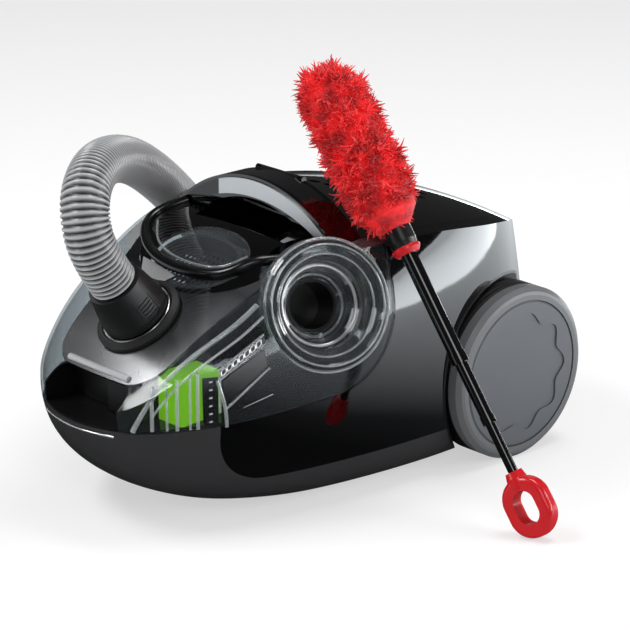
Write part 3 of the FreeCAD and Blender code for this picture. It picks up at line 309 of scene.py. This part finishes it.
soft_box("key_box", (-0.9, -1.3, 2.1), (0, -0.2, 0.1), 1.3, 0.7, 30)
soft_box("side_box", (1.75, 1.5, 0.62), (0.1, -0.02, 0.16), 2.0, 0.62, 30, fade=1.0)
soft_box("top_box", (0.2, 0.5, 2.2), (0, -0.1, 0.1), 1.2, 0.7, 22)
soft_box("nose_box", (-0.9, -2.2, 0.8), (0, -0.3, 0.1), 0.35, 0.9, 9)
soft_box("camera_box", (2.2, -1.5, 1.7), (0.1, -0.1, 0.1), 1.0, 1.0, 12)


# ---------------------------------------------------------------- chassis
# The lower half is one tub, injection-moulded in near-black polypropylene and screwed from below.
# The motor, reel, board and filters sit on ribs inside it, and the bin stands in its cradle.
def paint(names, material):
    """Gives one material to CAD nodes."""
    for name in names:
        mesh = nodes[name].data
        mesh.materials.clear()
        mesh.materials.append(material)


# A spark-eroded grain leaves the tub's reflections dull; inner mouldings are smoother.
tub_plastic = plastic("tub_plastic", "343436", 0.42, grain=0.25, grain_mm=0.67)
satin_black = plastic("satin_black", "0f0f10", 0.32, grain=0.08, grain_mm=0.83)
# Zinc-plated steel, with a soft metal shine, and matt moulded rubber.
zinc = plastic("zinc", "9c9ea0", 0.32, grain=0.05, grain_mm=2.0, Metallic=1.0)
rubber = plastic("rubber", "121212", 0.62, grain=0.2, grain_mm=0.63)
# Glass-fibre board with green lacquer, open grey foam, and pleated off-white filter paper.
board_green = plastic("board", "0f5a30", 0.45, grain=0.1)
foam = plastic("foam", "3a3a3c", 0.95, grain=1.0, grain_mm=1.4)
filter_paper = plastic("filter_paper", "e8e6dd", 0.9, grain=0.5, grain_mm=1.25)
paint(["chassis_tub"], tub_plastic)
paint(["cradle_deck", "inner_frame", "fan_impeller", "cord_drum", "wheel_arches"], satin_black)
paint(["base_screws", "motor_can", "motor_rotor"], zinc)
paint(["cord_outlet"], rubber)
paint(["circuit_board"], board_green)
paint(["motor_filter"], foam)
paint(["exhaust_filter"], filter_paper)


# ---------------------------------------------------------------- side panels, rear cover and pedals
# Piano-black covers in polished ABS, clipped to the tub. They mirror the studio through a faint
# orange peel. The two pedals on the rear cover are satin, so that a shoe doesn't mark them.
piano = plastic("piano_black", "040405", 0.04, grain=0.012, grain_mm=3.85, shade=0.3, Coat_Weight=0.5,
                Coat_Roughness=0.02)
pedal_black = plastic("pedal_black", "0d0d0e", 0.3, grain=0.1, grain_mm=1.0)
paint(["side_panel_left", "side_panel_right", "rear_top_cover"], piano)
paint(["power_pedal", "cord_rewind_pedal"], pedal_black)


# ---------------------------------------------------------------- wheels and caster
# Grey moulded ABS wheels with a darker snapped-in hub cap, black rubber tyres stretched over their
# rims and steel axles. A small caster swivels in a cup under the nose.
wheel_grey = plastic("wheel_grey", "6b6d70", 0.40, grain=0.15, grain_mm=0.77)
hub_grey = plastic("hub_grey", "5f6368", 0.42, grain=0.15, grain_mm=0.77)
paint(["wheel_left", "wheel_right", "caster_roller"], wheel_grey)
paint(["hub_cap_left", "hub_cap_right"], hub_grey)
paint(["wheel_tyre_left", "wheel_tyre_right"], rubber)
paint(["wheel_axles", "caster_pin"], zinc)
paint(["caster_cup", "caster_fork"], satin_black)


# ---------------------------------------------------------------- bin's tray, fascia and nose
# The bin's floor is a tray of smoked polycarbonate, and its front a fascia lacquered in gunmetal,
# with the inlet pipe through it. A grip bar is clipped across the top of the nose pocket, and a
# bright strip along the tub's lip closes its bottom.
FASCIA_FRONT_Y, FASCIA_BACK_Y = -0.39, -0.22
# Painted sheen and shade: the fascia's tones from front to back.
FASCIA_SHEEN_AND_SHADE = ((0.10, "8c8d8f"), (0.26, "a3a4a6"), (0.50, "77787b"), (0.72, "343537"))
FROM_FRONT = (0, 1, 0)
NOSE_BAR_R, NOSE_LIP_R = 0.0030, 0.0011
RAY_START = 0.4


def dropped(targets, places, way, lift, jump=1.0):
    """Each place slides along way until it meets a target's surface, and stops lift short of it.
    A place that misses, or falls more than jump past the one before, stops level with it."""
    out, last, way = [], None, Vector(way).normalized()
    for place in places:
        start = Vector(place) - way * RAY_START
        hits = [nodes[target].ray_cast(start, way) for target in targets]
        reaches = [(spot - start).length for hit, spot, normal, face in hits if hit]
        reach = min(reaches) if reaches else last
        if last is not None and abs(reach - last) > jump:
            reach = last
        if reach is not None:
            out.append(start + way * (reach - lift))
            last = reach
    return out


def bead(name, places, radius, body, material):
    """A round line of plastic, smooth along the places, with closed ends."""
    return add_piece(name, curve_mesh(name, places, 8, radius), body, material)


# Lacquer over metal flakes. Its colour carries a painted sheen and shade along its depth: palest where the
# fascia rolls over from nose to top, darker at the front and further back.
gunmetal = plastic("gunmetal", "77787b", 0.27, grain=0.03, grain_mm=2.0, Metallic=0.95, Coat_Weight=0.6,
                   Coat_Roughness=0.05)
fascia_tree = gunmetal.node_tree
fascia_place = node(fascia_tree, "ShaderNodeTexCoord").outputs["Object"]
back = node(fascia_tree, "ShaderNodeSeparateXYZ", {0: fascia_place}).outputs["Y"]
rolled = node(fascia_tree, "ShaderNodeMapRange", {"Value": back, "From Min": FASCIA_FRONT_Y,
                                                  "From Max": FASCIA_BACK_Y})
sheen = node(fascia_tree, "ShaderNodeValToRGB", {"Fac": rolled.outputs["Result"]})
for at, tone in FASCIA_SHEEN_AND_SHADE:
    sheen.color_ramp.elements.new(at).color = linear(tone)
sheen.color_ramp.elements[0].color = linear("4b4c4f")
sheen.color_ramp.elements[-1].color = linear("55565a")
fascia_tree.links.new(sheen.outputs["Color"], fascia_tree.nodes["Principled BSDF"].inputs["Base Color"])
# Smoked polycarbonate, brushed aluminium, pale ABS, and bright chrome that shines almost white.
smoke = plastic("smoked_tray", "222326", 0.14, grain=0.03, grain_mm=2.0, shade=0.4)
brushed = plastic("brushed_silver", "c9cacb", 0.28, grain=0.1, grain_mm=1.25, Metallic=1.0)
pale = plastic("pale_grey", "b9bbbd", 0.2, grain=0.02, Coat_Weight=0.4)
bright = plastic("bright_line", "e4e5e6", 0.18, Metallic=0.7)
paint(["bin_tray"], smoke)
paint(["front_fascia"], gunmetal)
paint(["inlet_ring"], brushed)
paint(["inlet_seal"], rubber)
paint(["bin_release_plate", "nose_pocket", "inlet_pipe"], satin_black)

bar_places = [(x, -0.40, z) for x, z in ((-0.040, 0.1345), (-0.020, 0.1350), (0, 0.1350), (0.020, 0.1350),
                                         (0.040, 0.1345))]
bead("nose_bar", dropped(["front_fascia"], bar_places, FROM_FRONT, 0.0004), NOSE_BAR_R, "dust_bin", pale)
lip_places = [(x, -0.42, 0.0905) for x in (-0.046, -0.025, 0, 0.025, 0.046)]
bead("nose_lip", dropped(["chassis_tub"], lip_places, FROM_FRONT, 0.0002), NOSE_LIP_R, "chassis", bright)


# ---------------------------------------------------------------- bin's clear shells and filter
# Each side of the bin is one thick shell of clear polycarbonate. On the left, a bright rim runs up
# from the nose to the cyclone, and ribs, a ladder, a row of cells and a framed pocket are moulded
# into the wall, in front of the lime-green filter cartridge.
LEFT_FRONT = (-0.72, 0.66, -0.2)
RIM_PLACES = [(0.062, -0.378, 0.098), (0.071, -0.371, 0.120), (0.074, -0.356, 0.137), (0.079, -0.334, 0.153),
              (0.088, -0.308, 0.169), (0.095, -0.286, 0.182), (0.097, -0.270, 0.193)]
INNER_RIM_STEP = Vector((0.004, 0.004, -0.008))
RIB_FEET = [(0.0735, -0.3660), (0.0815, -0.3565), (0.0870, -0.3500), (0.0930, -0.3410), (0.0958, -0.3350),
            (0.1045, -0.3180)]
RIB_FOOT_Z, RIB_TOP_Z, RIB_TOP_RISE = 0.099, 0.136, 0.003
DOTS, DOT_STEP = 6, 0.007
BAND_START, BAND_END = Vector((0.103, -0.3165, 0.1445)), Vector((0.1135, -0.2760, 0.1690))
BAND_HALF, BAND_EDGE = 0.0036, 0.0042
CELLS, CELL_STEP, CELL_HALF_LONG, CELL_HALF_HIGH = 7, 0.0063, 0.0024, 0.0022
PATCH_STEPS = 12
GLOSS_DRIFT_MM = 33.3


def clear(name, tint, see=0.03, edge=0.6, roughness=0.03, body="85898c", glint=0.05):
    """Clear plastic: it lets the view through face on and whitens where the wall is seen along itself."""
    material = bpy.data.materials.new(name)
    material.use_nodes = True
    tree = material.node_tree
    surface = tree.nodes["Principled BSDF"]
    surface.inputs["Base Color"].default_value = linear(body)
    surface.inputs["Specular IOR Level"].default_value = 1.0
    place = node(tree, "ShaderNodeTexCoord").outputs["Object"]
    drift = node(tree, "ShaderNodeTexNoise", {"Vector": place, "Scale": 1000 / GLOSS_DRIFT_MM,
                                              "Detail": 2}).outputs["Fac"]
    gloss = node(tree, "ShaderNodeMapRange", {"Value": drift, "To Min": roughness, "To Max": roughness * 2})
    tree.links.new(gloss.outputs["Result"], surface.inputs["Roughness"])
    through = node(tree, "ShaderNodeBsdfTransparent", {"Color": linear(tint)})
    shine = node(tree, "ShaderNodeBsdfGlossy", {"Color": linear("ffffff"),
                                                "Roughness": gloss.outputs["Result"]})
    facing = node(tree, "ShaderNodeLayerWeight", {"Blend": 0.5})
    steep = node(tree, "ShaderNodeMath", {0: facing.outputs["Facing"], 1: 3.0}, operation="POWER")
    amount = node(tree, "ShaderNodeMapRange", {"Value": steep.outputs[0], "To Min": see, "To Max": edge})
    solid = node(tree, "ShaderNodeMixShader", {0: amount.outputs["Result"], 1: through.outputs[0],
                                               2: surface.outputs[0]})
    mirror = node(tree, "ShaderNodeMapRange", {"Value": steep.outputs[0], "To Min": glint, "To Max": 0.6})
    mixed = node(tree, "ShaderNodeMixShader", {0: mirror.outputs["Result"], 1: solid.outputs[0],
                                               2: shine.outputs[0]})
    tree.links.new(mixed.outputs[0], tree.nodes["Material Output"].inputs["Surface"])
    return material


def patch(name, corners, targets, way, lift, material):
    """A four-cornered sheet on the bin, lift above the targets' surface, or below it if negative."""
    a, b, c, d = [Vector(p) for p in corners]
    side = PATCH_STEPS + 1
    spots = [a.lerp(b, i / PATCH_STEPS).lerp(d.lerp(c, i / PATCH_STEPS), k / PATCH_STEPS)
             for i in range(side) for k in range(side)]
    faces = [(q, q + side, q + side + 1, q + 1)
             for q in (i * side + k for i in range(PATCH_STEPS) for k in range(PATCH_STEPS))]
    mesh = bpy.data.meshes.new(name)
    mesh.from_pydata(dropped(targets, spots, way, lift, jump=0.03), [], faces)
    return add_piece(name, mesh, "dust_bin", material)


# Polished clear walls show what lies behind them, and their cut edges and thick rims run white.
# Glossy black plastic gives the dark insets.
polycarbonate = clear("polycarbonate", "e6eaec", glint=0.014)
clear_rim = clear("clear_rim", "f2f4f5", see=0.3, edge=0.9, body="dfe3e5")
deep_black = plastic("deep_black", "0a0a0b", 0.22, grain=0.03, grain_mm=1.1)
# Lime acrylic, a little translucent, with a faint emission that is a painted glow; the lint screen is dull
# grey nylon.
lime = plastic("lime", "9be01e", 0.18, grain=0.03, Transmission_Weight=0.25, Emission_Strength=0.3,
               Emission_Color=linear("a6ec28"))
screen_grey = plastic("screen_grey", "3a3b3e", 0.4, grain=0.1)
paint(["bin_shell"], polycarbonate)
paint(["filter_cartridge"], lime)
paint(["lint_screen"], screen_grey)


def wall_line(name, places, lift, radius, material=clear_rim):
    """A round line along the outside of the left shell."""
    bead(name, dropped(["bin_shell"], places, LEFT_FRONT, lift), radius, "dust_bin", material)


wall_line("bin_rim", RIM_PLACES, lift=0.0005, radius=0.0022)
wall_line("bin_rim_inner", [Vector(p) + INNER_RIM_STEP for p in RIM_PLACES[1:]], lift=0.0002, radius=0.0011)
for i, (x, y) in enumerate(RIB_FEET):
    rib_top = RIB_TOP_Z + RIB_TOP_RISE * min(i, 4)
    wall_line(f"bin_rib_{i + 1}", [(x, y, z) for z in (RIB_FOOT_Z, 0.112, 0.125, rib_top)], lift=0.0003,
              radius=0.0011 if i % 2 else 0.0016)

# A black ladder with white dots stands beside the filter, behind the wall.
patch("ladder", [(0.0975, -0.331, 0.100), (0.1035, -0.319, 0.100), (0.1030, -0.319, 0.142),
                 (0.0965, -0.331, 0.142)], ["bin_shell"], LEFT_FRONT, -0.007, deep_black)
for i in range(DOTS):
    rise = DOT_STEP * i
    wall_line(f"ladder_dot_{i + 1}", [(0.100, -0.326, 0.104 + rise), (0.1012, -0.3235, 0.1045 + rise)],
              lift=0.0004, radius=0.0008, material=bright)

# Seven square cells stand in a black band between two clear edges.
band_way = (BAND_END - BAND_START).normalized()
band_up = Vector((-0.25, 0.1, 0.96)).normalized()
patch("cell_band", [BAND_START - band_up * BAND_HALF, BAND_END - band_up * BAND_HALF,
                    BAND_END + band_up * BAND_HALF, BAND_START + band_up * BAND_HALF],
      ["bin_shell"], LEFT_FRONT, 0.0002, deep_black)
for i in range(CELLS):
    middle = BAND_START + band_way * (0.004 + CELL_STEP * i)
    outline = [middle + band_way * a * CELL_HALF_LONG + band_up * b * CELL_HALF_HIGH for a, b in
               ((-1, -1), (0, -1.1), (1, -1), (1.1, 0), (1, 1), (0, 1.1), (-1, 1), (-1.1, 0), (-1, -1))]
    wall_line(f"cell_{i + 1}", outline, lift=0.0006, radius=0.0006, material=bright)
for name, off_middle in (("band_edge_low", -BAND_EDGE), ("band_edge_top", BAND_EDGE)):
    wall_line(name, [BAND_START + band_way * t + band_up * off_middle
                     for t in (-0.002, 0.012, 0.024, 0.036, 0.048)], lift=0.0004, radius=0.0009)

# A dark panel under the cells, the edges of its pocket, and a plain line for the dust level.
patch("dark_panel", [(0.106, -0.313, 0.118), (0.1165, -0.275, 0.146), (0.1125, -0.276, 0.160),
                     (0.103, -0.314, 0.138)], ["bin_shell"], LEFT_FRONT, 0.0003, deep_black)
wall_line("panel_edge", [(0.106, -0.313, 0.114), (0.110, -0.300, 0.124), (0.114, -0.288, 0.134),
                         (0.1172, -0.274, 0.144)], lift=0.0003, radius=0.0010)
wall_line("pocket_edge", [(0.1035, -0.320, 0.140), (0.1055, -0.316, 0.126), (0.1070, -0.313, 0.110),
                          (0.1070, -0.313, 0.0985)], lift=0.0004, radius=0.0015)
wall_line("level_line", [(0.112, -0.298, 0.1135), (0.116, -0.286, 0.117), (0.119, -0.272, 0.1205)],
          lift=0.0002, radius=0.0004, material=bright)


# ---------------------------------------------------------------- cyclone
# A clear funnel with turned steps is glued into the left shell, round a black vortex tube. Beads
# laid as rings round its dark mouth stand for the steps, and their pale and bright colour is a painted
# highlight.
CYCLONE_AXIS = Vector((0.9044, -0.3018, 0.3018))
CYCLONE_MOUTH = Vector((0.12106, -0.21102, 0.18602))
RING_POINTS = 36

thick_clear = clear("thick_clear", "e4e7e9", see=0.10, edge=0.8)
paint(["cyclone_ring", "cyclone_funnel", "cyclone_chamber"], thick_clear)
paint(["vortex_tube"], satin_black)
out_x = CYCLONE_AXIS.orthogonal().normalized()
out_y = CYCLONE_AXIS.cross(out_x)
turns = [math.tau * k / RING_POINTS for k in range(RING_POINTS + 1)]
# Each ring is a raised bead on the funnel; its pale or chrome-bright colour is a painted highlight.
for i, (reach, thick, ring_highlight) in enumerate(((0.0570, 0.0012, clear_rim), (0.0520, 0.0008, clear_rim),
                                            (0.0440, 0.0008, clear_rim), (0.0345, 0.0016, bright),
                                            (0.0270, 0.0010, clear_rim))):
    around = [CYCLONE_MOUTH + (out_x * math.cos(a) + out_y * math.sin(a)) * reach for a in turns]
    lying = dropped(["cyclone_ring", "cyclone_funnel"], around, -CYCLONE_AXIS, 0.0002)
    bead(f"cyclone_rim_{i + 1}", lying, thick, "dust_bin", ring_highlight)


# ---------------------------------------------------------------- window and its surround
# A clear window in the bin's top, held by a thick black hoop that runs up into both feet of the
# handle. Two bright metal plates are glued on in front of it, beside the black latch.
DOWN = (0, 0, -1)
ABOVE_Z = 0.3
HOOP = [(-0.090, -0.188), (-0.100, -0.208), (-0.098, -0.228), (-0.078, -0.248), (-0.052, -0.261),
        (-0.024, -0.267), (0.004, -0.268), (0.030, -0.265), (0.047, -0.256), (0.056, -0.240),
        (0.064, -0.222), (0.078, -0.204)]
BIN_TOP = ["handle_surround", "front_fascia", "bin_shell", "window"]
BEZEL_R, WINDOW_EDGE_R = 0.0050, 0.0011

paint(["window"], polycarbonate)
paint(["handle_surround"], piano)
hoop = dropped(BIN_TOP, [(x, y, ABOVE_Z) for x, y in HOOP], DOWN, lift=0.001)
bead("window_bezel", hoop, BEZEL_R, "dust_bin", deep_black)
inner_hoop = [(x * 0.86 - 0.001, (y + 0.225) * 0.84 - 0.224, ABOVE_Z) for x, y in HOOP[2:-2]]
bead("window_edge", dropped(["handle_surround", "window"], inner_hoop, DOWN, lift=0.0006), WINDOW_EDGE_R,
     "dust_bin", clear_rim)
for name, outline in (
        ("latch_plate", ((-0.058, -0.266), (-0.004, -0.275), (-0.010, -0.283), (-0.040, -0.284))),
        ("side_plate", ((-0.106, -0.228), (-0.090, -0.243), (-0.081, -0.262), (-0.098, -0.254)))):
    patch(name, [(x, y, ABOVE_Z) for x, y in outline], BIN_TOP, DOWN, 0.0009, bright)


# ---------------------------------------------------------------- handle and dock lid
# The carrying handle is a polished black arch, and the brushed silver band clipped over its front is
# black at its right foot. A smoked lid turns on a steel pin over the duster's dock, and a
# bright lip closes the top of the finger well's back wall.
BAND_FOOT_X = -0.047
WELL_LIP_R = 0.0010

band_silver = plastic("band_silver", "d6d7d8", 0.3, grain=0.1, grain_mm=1.25, Metallic=1.0)
band_tree = band_silver.node_tree
band_place = node(band_tree, "ShaderNodeTexCoord").outputs["Object"]
band_x = node(band_tree, "ShaderNodeSeparateXYZ", {0: band_place}).outputs["X"]
on_band = node(band_tree, "ShaderNodeMath", {0: band_x, 1: BAND_FOOT_X}, operation="GREATER_THAN")
foot = node(band_tree, "ShaderNodeBsdfPrincipled", {"Base Color": linear("070708"), "Roughness": 0.05})
two_tone = node(band_tree, "ShaderNodeMixShader", {0: on_band.outputs[0], 1: foot.outputs[0],
                                                   2: band_tree.nodes["Principled BSDF"].outputs[0]})
band_tree.links.new(two_tone.outputs[0], band_tree.nodes["Material Output"].inputs["Surface"])
lid_smoke = plastic("lid_smoke", "1b1c1e", 0.07, grain=0.01, grain_mm=3.3, Coat_Weight=0.5)
paint(["carry_handle"], piano)
paint(["handle_band"], band_silver)
paint(["dock_lid"], lid_smoke)
paint(["dock_hinge_pin"], zinc)
bead("well_lip", [(-0.064, -0.1495, 0.2285), (-0.052, -0.1495, 0.2283), (-0.030, -0.1495, 0.2268),
                  (-0.012, -0.1495, 0.2260), (0.010, -0.1495, 0.2252)], WELL_LIP_R, "dust_bin", bright)


# ---------------------------------------------------------------- cuff and grip
# The hose ends in a cuff of soft-touch black plastic, which turns on the inlet and lets go when its
# side button is pressed, and in a satin black grip at the far end.
cuff_black = plastic("cuff_black", "171718", 0.42, grain=0.2, grain_mm=0.71)
paint(["hose_cuff", "cuff_latch_button"], cuff_black)
paint(["hose_grip"], satin_black)


# ---------------------------------------------------------------- duster
# Lacquered steel tubes slide in each other below a red ABS collar, with a red ring handle at the
# foot. The head is a core covered in tufts of long red microfibre, stitched on in two lengths.
DUSTER_FOOT, DUSTER_NECK = Vector((0.2996, -0.124, -0.0005)), Vector((0.1371, -0.1355, 0.2242))
HEAD_START, HEAD_END, HEAD_CORE_R = 0.018, 0.172, 0.025
CORE_RINGS, CORE_SIDES = 24, 24
STRANDS, YARN_LENGTH, YARN_R = 7, 0.0135, 0.0014
LUMPS_PER_METRE, CLUMPS_PER_METRE = 70, 60

lacquer = plastic("lacquer_black", "0a0a0b", 0.12, grain=0.02, grain_mm=2.5, Coat_Weight=0.4)
red = plastic("red_plastic", "cf1a22", 0.24, grain=0.05, grain_mm=1.4)
# Microfibre is matt and soft-edged. Its colour is painted shade: deep red in noise patches that stand for the
# shaded hollows between tufts, bright red elsewhere; its faint red emission is a painted glow.
microfibre = plastic("microfibre", "f4161e", 0.7, grain=0.3, grain_mm=0.67, shade=0.45, Sheen_Weight=0.3,
                     Sheen_Roughness=0.4, Emission_Color=linear("f01018"), Emission_Strength=0.10)
pile_tree = microfibre.node_tree
pile_place = node(pile_tree, "ShaderNodeTexCoord").outputs["Object"]
lump = node(pile_tree, "ShaderNodeTexNoise", {"Vector": pile_place, "Scale": LUMPS_PER_METRE, "Detail": 3})
depth = node(pile_tree, "ShaderNodeMapRange", {"Value": lump.outputs["Fac"], "From Min": 0.35,
                                               "From Max": 0.62})
hollow_shade = node(pile_tree, "ShaderNodeMix", {0: depth.outputs["Result"], 6: linear("a30a10"), 7: linear("ff2228")},
           data_type="RGBA")
pile_tree.links.new(hollow_shade.outputs[2], pile_tree.nodes["Principled BSDF"].inputs["Base Color"])
paint(["duster_outer_tube", "duster_middle_tube", "duster_inner_tube"], lacquer)
paint(["duster_neck_cup"], satin_black)
paint(["duster_collar", "duster_handle"], red)
paint(["duster_head"], microfibre)


def tuft(seed):
    """One tuft of twisted microfibre yarns that spread from a point and thin out to their tips."""
    rng = random.Random(seed)
    vertices, faces = [], []
    for _ in range(STRANDS):
        lean = Vector((rng.uniform(-0.55, 0.55), rng.uniform(-0.55, 0.55), 1)).normalized()
        curl = Vector((rng.uniform(-1, 1), rng.uniform(-1, 1), rng.uniform(-0.6, 0.1))) * 0.45
        reach, start = YARN_LENGTH * rng.uniform(0.7, 1.15), len(vertices)
        for ring in range(5):
            t = ring / 4
            middle = (lean * t + curl * t * t) * reach
            thick = YARN_R * (1 - 0.8 * t ** 1.5)
            vertices += [middle + Vector((math.cos(a), math.sin(a), 0)) * thick for a in (0, 2.09, 4.19)]
        for ring in range(4):
            for k in range(3):
                a, b = start + ring * 3 + k, start + ring * 3 + (k + 1) % 3
                faces.append((a, b, b + 3, a + 3))
        faces += [(start + 2, start + 1, start), (start + 12, start + 13, start + 14)]
    mesh = bpy.data.meshes.new("tuft")
    mesh.from_pydata(vertices, [], faces)
    return bpy.data.objects.new("tuft", mesh)


def planted(name, ground, yarn, density, seed, smallest, largest):
    """Tufts stand all over a mesh, in clumps of larger and smaller ones, joined into one plain mesh."""
    tree = bpy.data.node_groups.new(name, "GeometryNodeTree")
    tree.interface.new_socket("Geometry", in_out="INPUT", socket_type="NodeSocketGeometry")
    for label, kind, value in (("Density", "Float", density), ("Seed", "Int", seed),
                               ("Smallest", "Float", smallest), ("Largest", "Float", largest)):
        kind = f"NodeSocket{kind}"
        tree.interface.new_socket(label, in_out="INPUT", socket_type=kind).default_value = value
    tree.interface.new_socket("Geometry", in_out="OUTPUT", socket_type="NodeSocketGeometry")
    given = node(tree, "NodeGroupInput").outputs
    points = node(tree, "GeometryNodeDistributePointsOnFaces", {
        "Mesh": given["Geometry"], "Density": given["Density"], "Seed": given["Seed"]})
    spin = node(tree, "FunctionNodeRandomValue", {"Max": math.tau, "Seed": given["Seed"]}, data_type="FLOAT")
    spun = node(tree, "FunctionNodeAxisAngleToRotation", {"Axis": (0, 0, 1), "Angle": spin.outputs[1]})
    turned = node(tree, "FunctionNodeRotateRotation", {"Rotation": points.outputs["Rotation"],
                                                       "Rotate By": spun.outputs[0]}, rotation_space="LOCAL")
    size = node(tree, "FunctionNodeRandomValue", {2: given["Smallest"], 3: given["Largest"]},
                data_type="FLOAT")
    patchy = node(tree, "ShaderNodeTexNoise", {"Scale": CLUMPS_PER_METRE, "Detail": 1}).outputs["Fac"]
    clump = node(tree, "ShaderNodeMapRange", {"Value": patchy, "From Min": 0.35, "From Max": 0.65,
                                              "To Min": 0.6, "To Max": 1.25})
    grown = node(tree, "ShaderNodeMath", {0: size.outputs[1], 1: clump.outputs["Result"]},
                 operation="MULTIPLY")
    shape = node(tree, "GeometryNodeObjectInfo", {"Object": yarn})
    placed = node(tree, "GeometryNodeInstanceOnPoints", {
        "Points": points.outputs["Points"], "Instance": shape.outputs["Geometry"],
        "Rotation": turned.outputs[0], "Scale": grown.outputs[0]})
    real = node(tree, "GeometryNodeRealizeInstances", {0: placed.outputs[0]})
    dyed = node(tree, "GeometryNodeSetMaterial", {"Geometry": real.outputs[0], "Material": microfibre})
    node(tree, "NodeGroupOutput", {0: dyed.outputs[0]})
    base = bpy.data.objects.new(name, ground)
    scene.collection.objects.link(base)
    base.modifiers.new("planted", "NODES").node_group = tree
    bpy.context.view_layer.update()
    mesh = bpy.data.meshes.new_from_object(base.evaluated_get(bpy.context.evaluated_depsgraph_get()))
    bpy.data.objects.remove(base)
    return mesh


def core_radius(ring):
    """The core's radius along the head: it rounds off at both ends."""
    t = ring / CORE_RINGS
    return HEAD_CORE_R * min(1, 0.45 + 4 * t, 0.25 + 6 * (1 - t))


duster_axis = (DUSTER_NECK - DUSTER_FOOT).normalized()
duster_place = Matrix.Translation(DUSTER_NECK) @ duster_axis.to_track_quat("Z", "Y").to_matrix().to_4x4()
core_start, core_long = HEAD_START + 0.006, HEAD_END - HEAD_START - 0.008
core_points = [duster_place @ Vector((0, 0, core_start + core_long * i / CORE_RINGS))
               for i in range(CORE_RINGS + 1)]
core_mesh = swept("head_core", core_points, core_radius, CORE_SIDES)
for layer, seed, density, smallest, largest in (("duster_pile_under", 3, 46000, 0.45, 0.7),
                                                ("duster_pile_over", 8, 12000, 0.8, 1.2)):
    yarn = tuft(seed)
    scene.collection.objects.link(yarn)
    pile_mesh = planted(layer, core_mesh, yarn, density, seed, smallest, largest)
    bpy.data.objects.remove(yarn)
    add_piece(layer, pile_mesh, "duster", microfibre)
